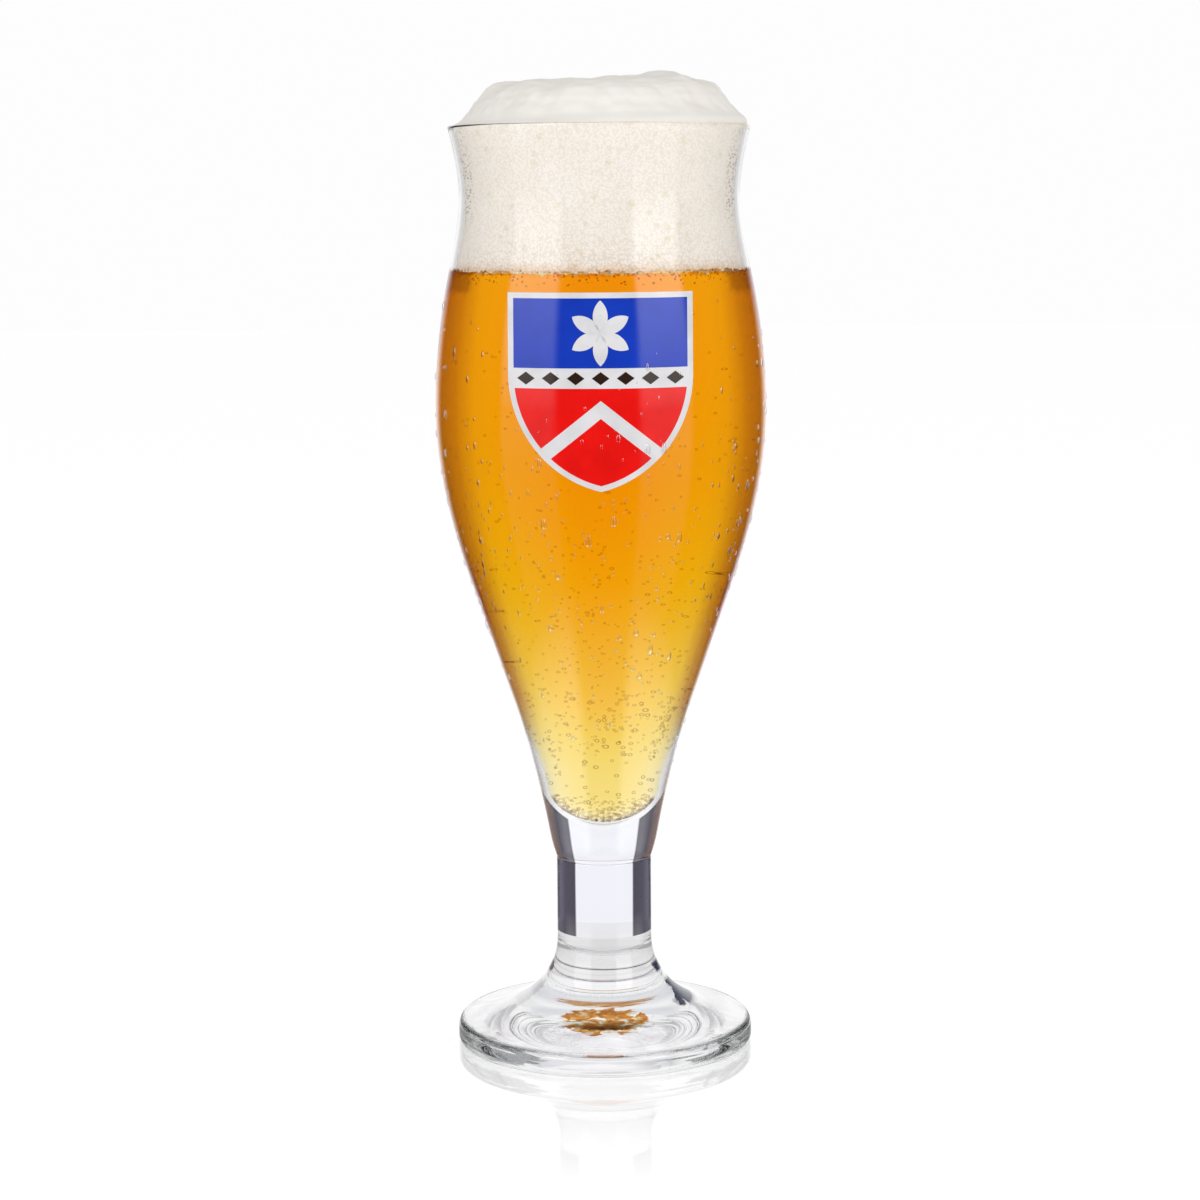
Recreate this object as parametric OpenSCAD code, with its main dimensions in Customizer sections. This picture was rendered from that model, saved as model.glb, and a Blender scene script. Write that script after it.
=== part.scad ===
// Footed wheat beer glass, full, with a head of foam. Millimetres, +Z up, front towards -Y.
// The origin is on the table, in the middle of the foot.
// The glass is three fused pieces: a foot with a flare, a short rod for a stem and a blown bowl.

/* [Glass] */
// Height of the glass from the table to the lip; the straight cone takes up what the other stretches leave
glass_h = 242; // [232:1:262]

/* [Foot] */
// Diameter of the foot
foot_d = 78.4; // [72:0.2:88]
// Thickness of the foot at its edge, over the table
foot_edge_h = 6.4; // [5.5:0.1:9]
// Height of the foot and its flare, up to the joint with the stem
foot_h = 30; // [26:0.5:36]
// Straight neck at the top of the flare, under the stem
flare_neck_h = 2; // [1:0.25:4]
// Rounding of the foot's upper edge
foot_top_r = 2; // [1:0.1:2.6]
// Rounding of the foot's lower edge
foot_low_r = 1.5; // [0.8:0.1:2.4]
// Width of the ring that the foot stands on
rest_ring_w = 3.6; // [2:0.2:6]
// Height of the hollow under the foot
foot_hollow_h = 1.8; // [0.8:0.1:3]

/* [Stem] */
// Diameter of the stem
stem_d = 25.2; // [22:0.2:28]
// Length of the stem between its two joints
stem_len = 19.8; // [10:0.2:40]
// Rounding of the two edges that meet at the upper joint
seam_r = 0.4; // [0.2:0.05:0.8]

/* [Bowl outside] */
// Diameter of the bowl where it joins the stem
base_d = 25; // [22:0.2:28]
// Height of the rounded neck over that joint
neck_h = 10.2; // [8:0.2:14]
// Diameter at the top of the neck
neck_d = 30.1; // [29:0.1:33]
// Height of the hollow curve over the neck, up to the straight cone
root_h = 32; // [26:0.5:40]
// Diameter at the top of the hollow curve
root_d = 46.9; // [44:0.1:50]
// Diameter at the top of the cone
cone_d = 68.8; // [66:0.1:72]
// Height from the cone to the belly
flank_h = 45; // [38:0.5:52]
// Diameter of the belly, the widest place
belly_d = 86.2; // [84:0.2:90]
// Height from the belly to the shoulder
shoulder_h = 37; // [32:0.5:42]
// Diameter of the shoulder, half way up the inward sweep
shoulder_d = 77.9; // [76:0.1:79]
// Height from the shoulder to the waist
waist_h = 18; // [15:0.5:22]
// Diameter of the waist, the narrowest place under the lip
waist_d = 72.6; // [70:0.1:74]
// Height from the waist to the lip
lip_h = 18; // [14:0.5:22]
// Diameter of the lip
lip_d = 78.4; // [76:0.1:82]

/* [Bowl inside] */
// Wall of the bowl at the belly, measured level
wall = 1.5; // [1.2:0.1:2.2]
// Wall of the bowl at the lip
lip_wall = 1.2; // [1:0.1:1.6]
// Solid glass between the joint and the beer
floor_t = 9.8; // [8:0.2:12]
// Radius of the round bottom inside
well_r = 11; // [10:0.1:12]
// Part of the straight cone, from its foot up, along which the thick bottom thins out to the wall
thick_part = 0.81; // [0.65:0.01:0.95]

/* [Drink] */
// Depth of the foam inside the bowl, from the lip down to the beer
foam_depth = 36.6; // [30:0.5:44]
// Height of the foam over the lip
dome_h = 11.2; // [8:0.2:16]
// Diameter of the flat top of the foam
dome_top_d = 40; // [30:1:50]
// Diameter of the foam half way up its side
dome_side_d = 66; // [60:0.5:70]
// Height over the lip at which the foam's side turns upright
dome_skirt_h = 5; // [3:0.25:6]
// Height of the hump on the foam
hump_h = 2.2; // [1:0.1:3]
// Distance of the hump from the middle, to the right
hump_x = 13.5; // [8:0.5:16]
// Radius of the hump's curve
hump_r = 26; // [22:1:28]

/* [Print] */
// Thickness of the fired enamel
print_t = 0.12; // [0.1:0.01:0.2]
// Width of the shield
shield_w = 46; // [40:0.5:50]
// Height of the shield's straight sides
shield_side_h = 20; // [16:0.5:24]
// Radius of the shield's two lower sides
shield_r = 30; // [27:0.5:34]
// Height of the foot of the straight sides over the belly
shield_lift = 11.5; // [8:0.5:14]
// Width of the white line round the shield
border_w = 1.4; // [1:0.1:2]
// Height of the white band across the shield
band_h = 5; // [4:0.1:6.5]
// Height of the band's lower edge over the foot of the straight sides
band_lift = -3.5; // [-5:0.25:-2]
// Blue space left over and under the rosette
rosette_gap = 0.5; // [0.3:0.1:2]
// Number of petals
petal_count = 6; // [5:1:8]
// Number of lozenges on the white band
lozenge_count = 7; // [5:2:9]
// White space between two lozenges
lozenge_gap = 1.8; // [1:0.1:2.4]
// White space over and under a lozenge
lozenge_edge = 0.9; // [0.5:0.1:1.4]
// Width of the white chevron's bars
chevron_w = 4.4; // [3:0.1:5.5]
// Height of the chevron's point under the band
chevron_drop = 3; // [2:0.1:4]

/* [Hidden] */
$fn = 96;

// Steps in one span of an outline
span_steps = 7;
// Steps in a quarter of a small round edge
edge_steps = 5;
// Steps in the round bottom inside the bowl
well_steps = 9;

// Run of the radius per unit of height, at the places where the outline leans
base_lean_share = 0.42;
neck_lean_share = 0.2;
shoulder_lean_share = -0.215;
lip_lean_share = 0.25;
// Reach of the flare's two handles: downwards from its neck, and inwards from the foot's edge
flare_drop_share = 0.38;
flare_reach_share = 0.77;
// Fall of the foot's upper face towards the edge, per unit of radius
foot_fall_share = 0.13;
// Reach of the handles of the foam's outline
skirt_share = 0.75;
crown_share = 0.62;
// Slope of a chevron bar
chevron_rise_share = 0.8;
// Radius of a petal's two sides against its length
petal_bow_share = 0.66;
// Turn of the round bottom inside, in degrees, before its sweep up to the wall begins
well_turn = 84;

// Heights over the table
base_z = foot_h + stem_len;
neck_z = base_z + neck_h;
root_z = neck_z + root_h;
lip_z = glass_h;
waist_z = lip_z - lip_h;
shoulder_z = waist_z - waist_h;
belly_z = shoulder_z - shoulder_h;
cone_z = belly_z - flank_h;
lip_low_z = lip_z - lip_wall / 2;
well_z = base_z + floor_t + well_r;
thick_z = root_z + thick_part * (cone_z - root_z);
beer_z = lip_z - foam_depth;
shield_z = belly_z + shield_lift;

// Run of the radius per unit of height along the straight cone
cone_lean_share = (cone_d - root_d) / 2 / (cone_z - root_z);

// A cut's overrun past the solid that it cuts
overrun = 5;

// Point on a curve that starts at a with the run u and ends at b with the run v, for t from 0 to 1
function along(a, u, b, v, t) =
    a * (1 - 3 * t * t + 2 * t * t * t) + u * (t - 2 * t * t + t * t * t)
    + b * (3 * t * t - 2 * t * t * t) + v * (t * t * t - t * t);

// Radius between two stations, each given by its height, its diameter and its lean
function radius_at(z, z0, d0, k0, z1, d1, k1) =
    along(d0 / 2, k0 * (z1 - z0), d1 / 2, k1 * (z1 - z0), (z - z0) / (z1 - z0));

// Outside radius of the bowl at a height
function bowl_r(z) =
    z < neck_z ? radius_at(z, base_z, base_d, base_lean_share, neck_z, neck_d, neck_lean_share)
    : z < root_z ? radius_at(z, neck_z, neck_d, neck_lean_share, root_z, root_d, cone_lean_share)
    : z < cone_z ? radius_at(z, root_z, root_d, cone_lean_share, cone_z, cone_d, cone_lean_share)
    : z < belly_z ? radius_at(z, cone_z, cone_d, cone_lean_share, belly_z, belly_d, 0)
    : z < shoulder_z ? radius_at(z, belly_z, belly_d, 0, shoulder_z, shoulder_d, shoulder_lean_share)
    : z < waist_z ? radius_at(z, shoulder_z, shoulder_d, shoulder_lean_share, waist_z, waist_d, 0)
    : radius_at(z, waist_z, waist_d, 0, lip_z, lip_d, lip_lean_share);

// Wall at a height over the round bottom: even up to the waist, then thinner to the lip
function wall_at(z) =
    z < waist_z ? wall : wall + (lip_wall - wall) * (z - waist_z) / (lip_low_z - waist_z);

// Heights of the steps from one station up to the next, without the last
function rises(z0, z1, n) = [for (i = [0 : n - 1]) z0 + (z1 - z0) * i / n];

// Heights of the steps of the outline over the cone's foot, up to the beginning of the lip's round edge
upper_steps = concat(
    [root_z],
    rises(cone_z, belly_z, span_steps),
    rises(belly_z, shoulder_z, span_steps),
    rises(shoulder_z, waist_z, span_steps),
    rises(waist_z, lip_low_z, span_steps),
    [lip_low_z]
);
lower_steps = concat(rises(base_z + seam_r, neck_z, span_steps), rises(neck_z, root_z, span_steps));

// Outline of the bowl's outside, from the joint up
function outer_points() = [for (z = concat(lower_steps, upper_steps)) [bowl_r(z), z]];

// Outline of the bowl's inside, from the middle of the round bottom up: a quarter round, a sweep, the wall
well_end = [well_r * sin(well_turn), well_z - well_r * cos(well_turn)];
thick_end = [bowl_r(thick_z) - wall, thick_z];
function well_points() = [
    for (i = [0 : well_steps - 1])
        let (a = well_turn * i / well_steps)
        [well_r * sin(a), well_z - well_r * cos(a)]
];
function sweep_points() = [
    for (i = [0 : 2 * span_steps])
        let (rise = thick_end.y - well_end.y, run = rise / tan(well_turn))
        along(well_end, [run, rise], thick_end, [rise * cone_lean_share, rise], i / (2 * span_steps))
];
function inner_points() = concat(
    well_points(),
    sweep_points(),
    [for (z = upper_steps) if (z > thick_z) [bowl_r(z) - wall_at(z), z]]
);

// The inside up to a level, closed along the middle
function fill_points(level) = concat(
    [[0, level]],
    [for (p = inner_points()) if (p.y < level) p],
    [[bowl_r(level) - wall_at(level), level]]
);

// Quarter of a round edge: middle, radius, first angle, last angle
function edge_points(middle, r, a0, a1) = [
    for (i = [0 : edge_steps])
        let (a = a0 + (a1 - a0) * i / edge_steps)
        middle + r * [cos(a), sin(a)]
];

// The lip is a half round between the outside and the inside, whose own points stand at its two ends
lip_turn = 20;
function lip_points() = edge_points(
    [bowl_r(lip_low_z) - lip_wall / 2, lip_low_z], lip_wall / 2, lip_turn, 180 - lip_turn
);

module bowl() {
    color([0.86, 0.92, 0.93, 0.35])
        rotate_extrude()
            polygon(concat(
                [[0, base_z]],
                edge_points([bowl_r(base_z + seam_r) - seam_r, base_z + seam_r], seam_r, -90, -10),
                outer_points(),
                lip_points(),
                [for (i = [len(inner_points()) - 1 : -1 : 0]) inner_points()[i]]
            ));
}

// A plain rod with a round edge under the bowl
module stem() {
    color([0.80, 0.84, 0.88, 0.5])
        rotate_extrude()
            polygon(concat(
                [[0, foot_h], [stem_d / 2, foot_h]],
                edge_points([stem_d / 2 - seam_r, base_z - seam_r], seam_r, 0, 90),
                [[0, base_z]]
            ));
}

// The flare runs from the stem's diameter out to the foot's rounded edge in one sweep
flare_top = [stem_d / 2, foot_h - flare_neck_h];
foot_top_middle = [foot_d / 2 - foot_top_r, foot_edge_h - foot_top_r];
flare_end_turn = 90 - atan(foot_fall_share);
flare_end = foot_top_middle + foot_top_r * [cos(flare_end_turn), sin(flare_end_turn)];
function flare_points() = [
    for (i = [0 : 2 * span_steps])
        let (
            fall = flare_top.y - flare_end.y,
            reach = flare_end.x - flare_top.x,
            u = [0, -3 * flare_drop_share * fall],
            v = 3 * flare_reach_share * reach * [1, -foot_fall_share]
        )
        along(flare_top, u, flare_end, v, i / (2 * span_steps))
];

// Hollow under the foot: an arc from the standing ring up to the middle
ring_r = foot_d / 2 - foot_low_r - rest_ring_w;
hollow_r = (ring_r * ring_r + foot_hollow_h * foot_hollow_h) / (2 * foot_hollow_h);
function hollow_points() = [
    for (i = [0 : span_steps])
        let (a = asin(ring_r / hollow_r) * (1 - i / span_steps))
        [hollow_r * sin(a), foot_hollow_h - hollow_r * (1 - cos(a))]
];

module foot() {
    color([0.84, 0.90, 0.92, 0.4])
        rotate_extrude()
            polygon(concat(
                hollow_points(),
                [[0, foot_h], [stem_d / 2, foot_h]],
                flare_points(),
                edge_points(foot_top_middle, foot_top_r, flare_end_turn, 0),
                edge_points([foot_d / 2 - foot_low_r, foot_low_r], foot_low_r, 0, -90)
            ));
}

// Skin of enamel on the outside of the bowl, between the cone and the waist
module enamel_skin() {
    heights = concat(
        rises(cone_z, belly_z, span_steps),
        rises(belly_z, shoulder_z, span_steps),
        [shoulder_z]
    );
    rotate_extrude()
        polygon(concat(
            [for (z = heights) [bowl_r(z), z]],
            [for (i = [len(heights) - 1 : -1 : 0]) [bowl_r(heights[i]) + print_t, heights[i]]]
        ));
}

// A flat shape pressed onto the front of the bowl as a layer of enamel
module enamel() {
    intersection() {
        enamel_skin();
        rotate([90, 0, 0])
            linear_extrude(belly_d)
                translate([0, shield_z])
                    children();
    }
}

// Outline of the shield, drawn in from its edge: straight sides over two arcs that meet in a point
module shield_shape(inset) {
    half = shield_w / 2 - inset;
    translate([-half, 0])
        square([2 * half, shield_side_h - inset]);
    intersection() {
        translate([-half, -shield_r])
            square([2 * half, shield_r]);
        translate([shield_w / 2 - shield_r, 0])
            circle(shield_r - inset);
        translate([shield_r - shield_w / 2, 0])
            circle(shield_r - inset);
    }
}

// One petal is where two circles overlap, as drawn with a pair of compasses
module rosette_shape() {
    field_low = band_lift + band_h;
    field_top = shield_side_h - border_w;
    petal_len = (field_top - field_low) / 2 - rosette_gap;
    bow_r = petal_len * petal_bow_share;
    shift = sqrt(bow_r * bow_r - petal_len * petal_len / 4);
    translate([0, (field_low + field_top) / 2])
        for (i = [0 : petal_count - 1])
            rotate(360 / petal_count * i)
                translate([0, petal_len / 2])
                    intersection() {
                        translate([shift, 0])
                            circle(bow_r);
                        translate([-shift, 0])
                            circle(bow_r);
                    }
}

module band_shape() {
    intersection() {
        shield_shape(border_w);
        translate([-shield_w / 2, band_lift])
            square([shield_w, band_h]);
    }
}

module lozenge_row_shape() {
    pitch = (shield_w - 2 * border_w) / lozenge_count;
    half_w = (pitch - lozenge_gap) / 2;
    half_h = band_h / 2 - lozenge_edge;
    for (i = [0 : lozenge_count - 1])
        translate([(i - (lozenge_count - 1) / 2) * pitch, band_lift + band_h / 2])
            polygon([[-half_w, 0], [0, -half_h], [half_w, 0], [0, half_h]]);
}

// Two bars that rise to a point under the band
module chevron_shape() {
    peak = band_lift - chevron_drop;
    fall = shield_w / 2 * chevron_rise_share;
    intersection() {
        shield_shape(border_w);
        polygon([
            [0, peak],
            [shield_w / 2, peak - fall],
            [shield_w / 2, peak - fall - chevron_w],
            [0, peak - chevron_w],
            [-shield_w / 2, peak - fall - chevron_w],
            [-shield_w / 2, peak - fall]
        ]);
    }
}

module print_white() {
    color([0.96, 0.96, 0.94])
        enamel() {
            difference() {
                shield_shape(0);
                shield_shape(border_w);
            }
            difference() {
                band_shape();
                lozenge_row_shape();
            }
            rosette_shape();
            chevron_shape();
        }
}

module print_blue() {
    color([0.12, 0.25, 0.72])
        enamel()
            difference() {
                intersection() {
                    shield_shape(border_w);
                    translate([-shield_w / 2, band_lift + band_h])
                        square([shield_w, shield_side_h]);
                }
                rosette_shape();
            }
}

module print_red() {
    color([0.86, 0.10, 0.14])
        enamel()
            difference() {
                intersection() {
                    shield_shape(border_w);
                    translate([-shield_w / 2, band_lift - 2 * shield_r])
                        square([shield_w, 2 * shield_r]);
                }
                chevron_shape();
            }
}

module print_brown() {
    color([0.20, 0.10, 0.06])
        enamel()
            lozenge_row_shape();
}

module beer() {
    color([0.90, 0.56, 0.08])
        rotate_extrude()
            polygon(fill_points(beer_z));
}

// The foam fills the rest of the bowl, meets the lip all round and stands over it as a dome with a hump
dome_foot = [bowl_r(lip_low_z) - lip_wall, lip_z];
dome_side = [dome_side_d / 2, lip_z + dome_skirt_h];
dome_top = [dome_top_d / 2, lip_z + dome_h];
function dome_points() = concat(
    [
        for (i = [0 : span_steps - 1])
            let (run = dome_foot.x - dome_side.x)
            along(dome_foot, [-run, run * skirt_share], dome_side,
                  [-run * skirt_share / 2, dome_skirt_h * 2 * skirt_share], i / span_steps)
    ],
    [
        for (i = [0 : span_steps])
            let (run = dome_side.x - dome_top.x, rise = dome_h - dome_skirt_h)
            along(dome_side, [-run * skirt_share / 2, 2 * rise * skirt_share], dome_top,
                  [-3 * run * crown_share, 0], i / span_steps)
    ]
);

module foam() {
    color([0.96, 0.94, 0.89])
        union() {
            rotate_extrude()
                polygon(concat(
                    [[0, beer_z], [bowl_r(beer_z) - wall_at(beer_z), beer_z]],
                    [for (p = inner_points()) if (p.y > beer_z) p],
                    dome_points(),
                    [[0, lip_z + dome_h]]
                ));
            intersection() {
                translate([hump_x, 0, lip_z + dome_h + hump_h - hump_r])
                    sphere(hump_r);
                translate([0, 0, lip_z + dome_h - hump_h])
                    cylinder(h = 2 * hump_h + overrun, r = dome_side.x);
            }
        }
}

bowl();
stem();
foot();
print_white();
print_blue();
print_red();
print_brown();
beer();
foam();
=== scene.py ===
import math

import bmesh
import bpy
import numpy as np
from mathutils import Matrix


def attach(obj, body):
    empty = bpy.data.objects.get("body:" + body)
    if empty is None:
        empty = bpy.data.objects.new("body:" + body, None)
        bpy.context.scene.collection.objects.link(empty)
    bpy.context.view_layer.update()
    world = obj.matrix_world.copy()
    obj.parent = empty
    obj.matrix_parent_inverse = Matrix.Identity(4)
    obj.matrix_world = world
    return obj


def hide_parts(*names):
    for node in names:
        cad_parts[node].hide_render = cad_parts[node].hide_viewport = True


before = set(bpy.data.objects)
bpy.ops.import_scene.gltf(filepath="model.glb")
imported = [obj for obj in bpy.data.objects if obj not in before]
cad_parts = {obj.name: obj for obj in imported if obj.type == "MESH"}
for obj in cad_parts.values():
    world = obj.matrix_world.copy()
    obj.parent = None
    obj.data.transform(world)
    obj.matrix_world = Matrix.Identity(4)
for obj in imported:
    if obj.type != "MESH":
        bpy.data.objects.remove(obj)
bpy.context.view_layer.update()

# The camera stands in front of the glass, a little under the height of the lip, and looks down by
# eight degrees through a long lens. It leans by less than half a degree.
CAMERA_REACH = 0.7636
CAMERA_HEIGHT = 0.2264
CAMERA_PITCH = math.radians(8.05)
CAMERA_TURN = math.radians(0.043)
CAMERA_LEAN = math.radians(-0.404)
CAMERA_LENS = 87.75
GLASS_BOUNCES = 32
MIRROR_BOUNCES = 12

scene = bpy.context.scene
camera = bpy.data.objects.new("camera", bpy.data.cameras.new("camera"))
camera.data.lens = CAMERA_LENS
camera.data.clip_start = 0.01
camera.data.clip_end = 50
camera.matrix_world = (
    Matrix.Translation((0, -CAMERA_REACH, CAMERA_HEIGHT))
    @ Matrix.Rotation(CAMERA_TURN, 4, "Z")
    @ Matrix.Rotation(math.pi / 2 - CAMERA_PITCH, 4, "X")
    @ Matrix.Rotation(CAMERA_LEAN, 4, "Z")
)
scene.collection.objects.link(camera)
scene.camera = camera
scene.view_settings.view_transform = "Standard"
scene.cycles.max_bounces = GLASS_BOUNCES
scene.cycles.transmission_bounces = GLASS_BOUNCES
scene.cycles.glossy_bounces = MIRROR_BOUNCES

# The room is a white studio. Its backdrop and floor are white to the camera and to what the glass bends.
# What the glass mirrors is a dark room with a white back, and with two tall white panels beside the camera.
ROOM_WHITE = 0.985
LAMP_SHARE = 0.35
THROUGH_GLASS = 2.05
# Levels round the room are (degrees to the right of the printed front, level).
PANELS = (
    (-180, 1.0), (-160, 1.0), (-147, 0.02), (-74, 0.02), (-70, 0.8), (-34, 0.8), (-29, 0.02),
    (25, 0.02), (29, 1.0), (62, 1.0), (67, 0.02), (147, 0.02), (160, 1.0), (180, 1.0),
)
BACKDROP = ((-180, 1.0), (-105, 1.0), (-70, 0.5), (70, 0.5), (105, 1.0), (180, 1.0))
CARDS = (
    (-180, 0.0), (-110, 0.0), (-88, 1.0), (-36, 1.0), (-24, 0.1),
    (24, 0.1), (36, 1.0), (88, 1.0), (110, 0.0),
)
# A ramp is a list of (place, grey or colour), and a range is (low, high, value at low, value at high).
CEILING = [(0.0, 1.0), (0.62, 1.0), (0.88, 0.10)]
FRONT_HALF = (-0.2, 0.1, 1.0, 0.0)
PANEL_RISE = (-0.1, 0.26, 0.6, 2.6)
LOW_SKY = (0.0, 0.45, 1.0, 0.0)


def give(node, inputs):
    """Gives sockets of a node a value, or a link from another node's output."""
    for key, value in inputs.items():
        if isinstance(value, bpy.types.NodeSocket):
            node.id_data.links.new(value, node.inputs[key])
        else:
            node.inputs[key].default_value = value


def add(tree, kind, inputs=(), **settings):
    """One shader node: settings are its own properties, and inputs is what its sockets are given."""
    made = tree.nodes.new("ShaderNode" + kind)
    for name, value in settings.items():
        setattr(made, name, value)
    give(made, dict(inputs))
    return made


def calc(tree, operation, a, b=0.0, c=0.0, clamp=False):
    """Output of a Math node on up to three numbers or outputs."""
    made = add(tree, "Math", {0: a, 1: b, 2: c}, operation=operation, use_clamp=clamp)
    return made.outputs[0]


def product(tree, first, *others):
    """Output that multiplies numbers or outputs, one after the other."""
    for other in others:
        first = calc(tree, "MULTIPLY", first, other)
    return first


def remap(tree, value, low, high, start, end, clamp=True):
    """Output that runs from start to end while the value runs from low to high."""
    made = add(tree, "MapRange", {0: value, 1: low, 2: high, 3: start, 4: end}, clamp=clamp)
    return made.outputs[0]


def ramp(tree, fac, stops):
    """Colour output of a ramp whose stops are (position, grey value or colour)."""
    made = add(tree, "ValToRGB", {"Fac": fac})
    marks = made.color_ramp.elements
    while len(marks) < len(stops):
        marks.new(1.0)
    for mark, (place, shade) in zip(marks, stops):
        mark.position = place
        mark.color = (shade, shade, shade, 1) if isinstance(shade, float) else (*shade, 1)
    return made.outputs["Color"]


def between(tree, share, first, second):
    """Number that goes from the first to the second as the share goes from 0 to 1."""
    return add(tree, "Mix", {0: share, 2: first, 3: second}).outputs[0]


def along(tree, vector, axis):
    """Output with one part of a vector: X, Y or Z."""
    return add(tree, "SeparateXYZ", {0: vector}).outputs[axis]


def new_group(name, ins, outs):
    """Empty shader node group with named sockets, what comes into it, and the node for what goes out."""
    tree = bpy.data.node_groups.new(name, "ShaderNodeTree")
    for way, sockets in (("INPUT", ins), ("OUTPUT", outs)):
        for label, kind in sockets.items():
            tree.interface.new_socket(label, in_out=way, socket_type="NodeSocket" + kind)
    return tree, tree.nodes.new("NodeGroupInput").outputs, tree.nodes.new("NodeGroupOutput")


def use(tree, group, inputs=()):
    """Outputs of a node group placed in a tree."""
    return add(tree, "Group", inputs, node_tree=group).outputs


panels, panels_in, panels_out = new_group(
    "room panels", {"Direction": "Vector"}, {"Shine": "Float", "Backdrop": "Float", "Cards": "Float"},
)
way = panels_in["Direction"]
bearing = calc(panels, "ARCTAN2", along(panels, way, "X"), product(panels, along(panels, way, "Y"), -1.0))
bearing = calc(panels, "MULTIPLY_ADD", bearing, 0.5 / math.pi, 0.5)
for slot, levels in enumerate((PANELS, BACKDROP, CARDS)):
    stops = [(angle / 360 + 0.5, level) for angle, level in levels]
    give(panels_out, {slot: ramp(panels, bearing, stops)})

room = bpy.data.worlds.new("studio")
room.use_nodes = True
scene.world = room
tree = room.node_tree
tree.nodes.clear()
ray = add(tree, "LightPath").outputs
way = add(tree, "TexCoord").outputs["Generated"]
height = along(tree, way, "Z")
round_room = use(tree, panels, {"Direction": way})
ceiling = ramp(tree, height, CEILING)
in_front = remap(tree, along(tree, way, "Y"), *FRONT_HALF)
rising = between(tree, in_front, 1.0, remap(tree, height, *PANEL_RISE))
mirrored = product(tree, round_room["Shine"], ceiling, rising)
on_matt = calc(tree, "MINIMUM", ray["Diffuse Depth"], 1.0)
bent = calc(tree, "MAXIMUM", round_room["Backdrop"], remap(tree, height, *LOW_SKY))
bent = between(tree, on_matt, product(tree, bent, ceiling), THROUGH_GLASS)
level = between(tree, ray["Is Glossy Ray"], 1 - LAMP_SHARE, mirrored)
level = between(tree, ray["Is Transmission Ray"], level, bent)
level = between(tree, ray["Is Camera Ray"], level, ROOM_WHITE)
sky = add(tree, "Background", {"Color": (1, 1, 1, 1), "Strength": level}).outputs[0]
add(tree, "OutputWorld", {"Surface": sky})

# Two soft lamps stand beside the camera, at the height of the glass. The right one is a little stronger.
LAMPS = ((-1, 2.9), (1, 3.3))
LAMP_W = 0.5
LAMP_H = 0.9
LAMP_REACH = 1.0
LAMP_AIM_Z = 0.15
LAMP_TURN = 46
LAMP_PITCH = 78

for side, watts in LAMPS:
    lamp = bpy.data.objects.new("lamp", bpy.data.lights.new("lamp", "AREA"))
    lamp.data.shape = "RECTANGLE"
    lamp.data.size = LAMP_W
    lamp.data.size_y = LAMP_H
    lamp.data.energy = watts
    lamp.visible_camera = lamp.visible_glossy = lamp.visible_transmission = False
    aim = Matrix.Rotation(math.radians(side * LAMP_TURN), 4, "Z")
    aim = aim @ Matrix.Rotation(math.radians(LAMP_PITCH), 4, "X")
    lamp.matrix_world = (
        Matrix.Translation((0, 0, LAMP_AIM_Z)) @ aim @ Matrix.Translation((0, 0, LAMP_REACH))
    )
    scene.collection.objects.link(lamp)

# The floor is a sheet of polished white acrylic. It mirrors the foot faintly, just in front of it.
# Where the glass mirrors the floor, the floor glows for it with the room's panels, and with two white cards
# beside the foot that are only painted on it as glow.
FLOOR_HALF = 4.0
FLOOR_DROP = 0.00005
FLOOR_DIFFUSE = 0.35
FLOOR_GLOW = 0.765
FLOOR_BOUNCE = 0.9
FLOOR_ROUGHNESS = 0.015
FLOOR_SHINE = (0.1, 0.9, 0.15, 0.6)
BESIDE_FOOT = (0.05, 0.10, 3.0, 0.0)
BEHIND_FOOT = (0.0, 0.05, 0.0, 1.0)
CARD_SPAN = 0.25
CARD_RING = [(0.24, 0.0), (0.36, 1.0), (0.48, 0.9), (0.68, 0.0)]
CARD_LEVEL = 1.95
MIRROR_FADE = (0.036, 0.125, 0.42, 0.0)
MIRROR_FRONT = (-0.01, 0.02, 1.0, 0.0)
FLOOR_CORNERS = ((-1, -1), (1, -1), (1, 1), (-1, 1))


def here(tree):
    """Output with the place on the piece, in metres."""
    return add(tree, "TexCoord").outputs["Object"]


def vector_math(tree, operation, vector, other=(0.0, 0.0, 0.0)):
    """Outputs of a Vector Math node."""
    return add(tree, "VectorMath", {0: vector, 1: other}, operation=operation).outputs


corners = [(x * FLOOR_HALF, y * FLOOR_HALF, -FLOOR_DROP) for x, y in FLOOR_CORNERS]
floor_mesh = bpy.data.meshes.new("floor")
floor_mesh.from_pydata(corners, [], [(0, 1, 2, 3)])
floor = bpy.data.objects.new("floor", floor_mesh)
scene.collection.objects.link(floor)

table = bpy.data.materials.new("white acrylic")
table.use_nodes = True
tree = table.node_tree
tree.nodes.clear()
ray = add(tree, "LightPath").outputs
spot = here(tree)
reach = vector_math(tree, "LENGTH", spot)["Value"]
ahead = along(tree, spot, "Y")
round_room = use(tree, panels, {"Direction": spot})
shine = calc(tree, "MAXIMUM", round_room["Shine"], remap(tree, reach, *BESIDE_FOOT))
dim = calc(tree, "MAXIMUM", remap(tree, reach, *FLOOR_SHINE), remap(tree, ahead, *BEHIND_FOOT))
near = ramp(tree, product(tree, reach, 1 / CARD_SPAN), CARD_RING)
near = product(tree, near, round_room["Cards"], CARD_LEVEL)
shine = calc(tree, "MAXIMUM", product(tree, shine, dim), near)
on_matt = calc(tree, "MINIMUM", ray["Diffuse Depth"], 1.0)
bent = calc(tree, "MULTIPLY_ADD", on_matt, THROUGH_GLASS - 1, 1.0)
emitted = between(tree, ray["Is Transmission Ray"], product(tree, ray["Is Glossy Ray"], shine), bent)
emitted = between(tree, ray["Is Camera Ray"], emitted, FLOOR_GLOW)
matt = product(tree, ray["Is Diffuse Ray"], FLOOR_BOUNCE)
matt = calc(tree, "MULTIPLY_ADD", ray["Is Camera Ray"], FLOOR_DIFFUSE, matt)
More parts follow.
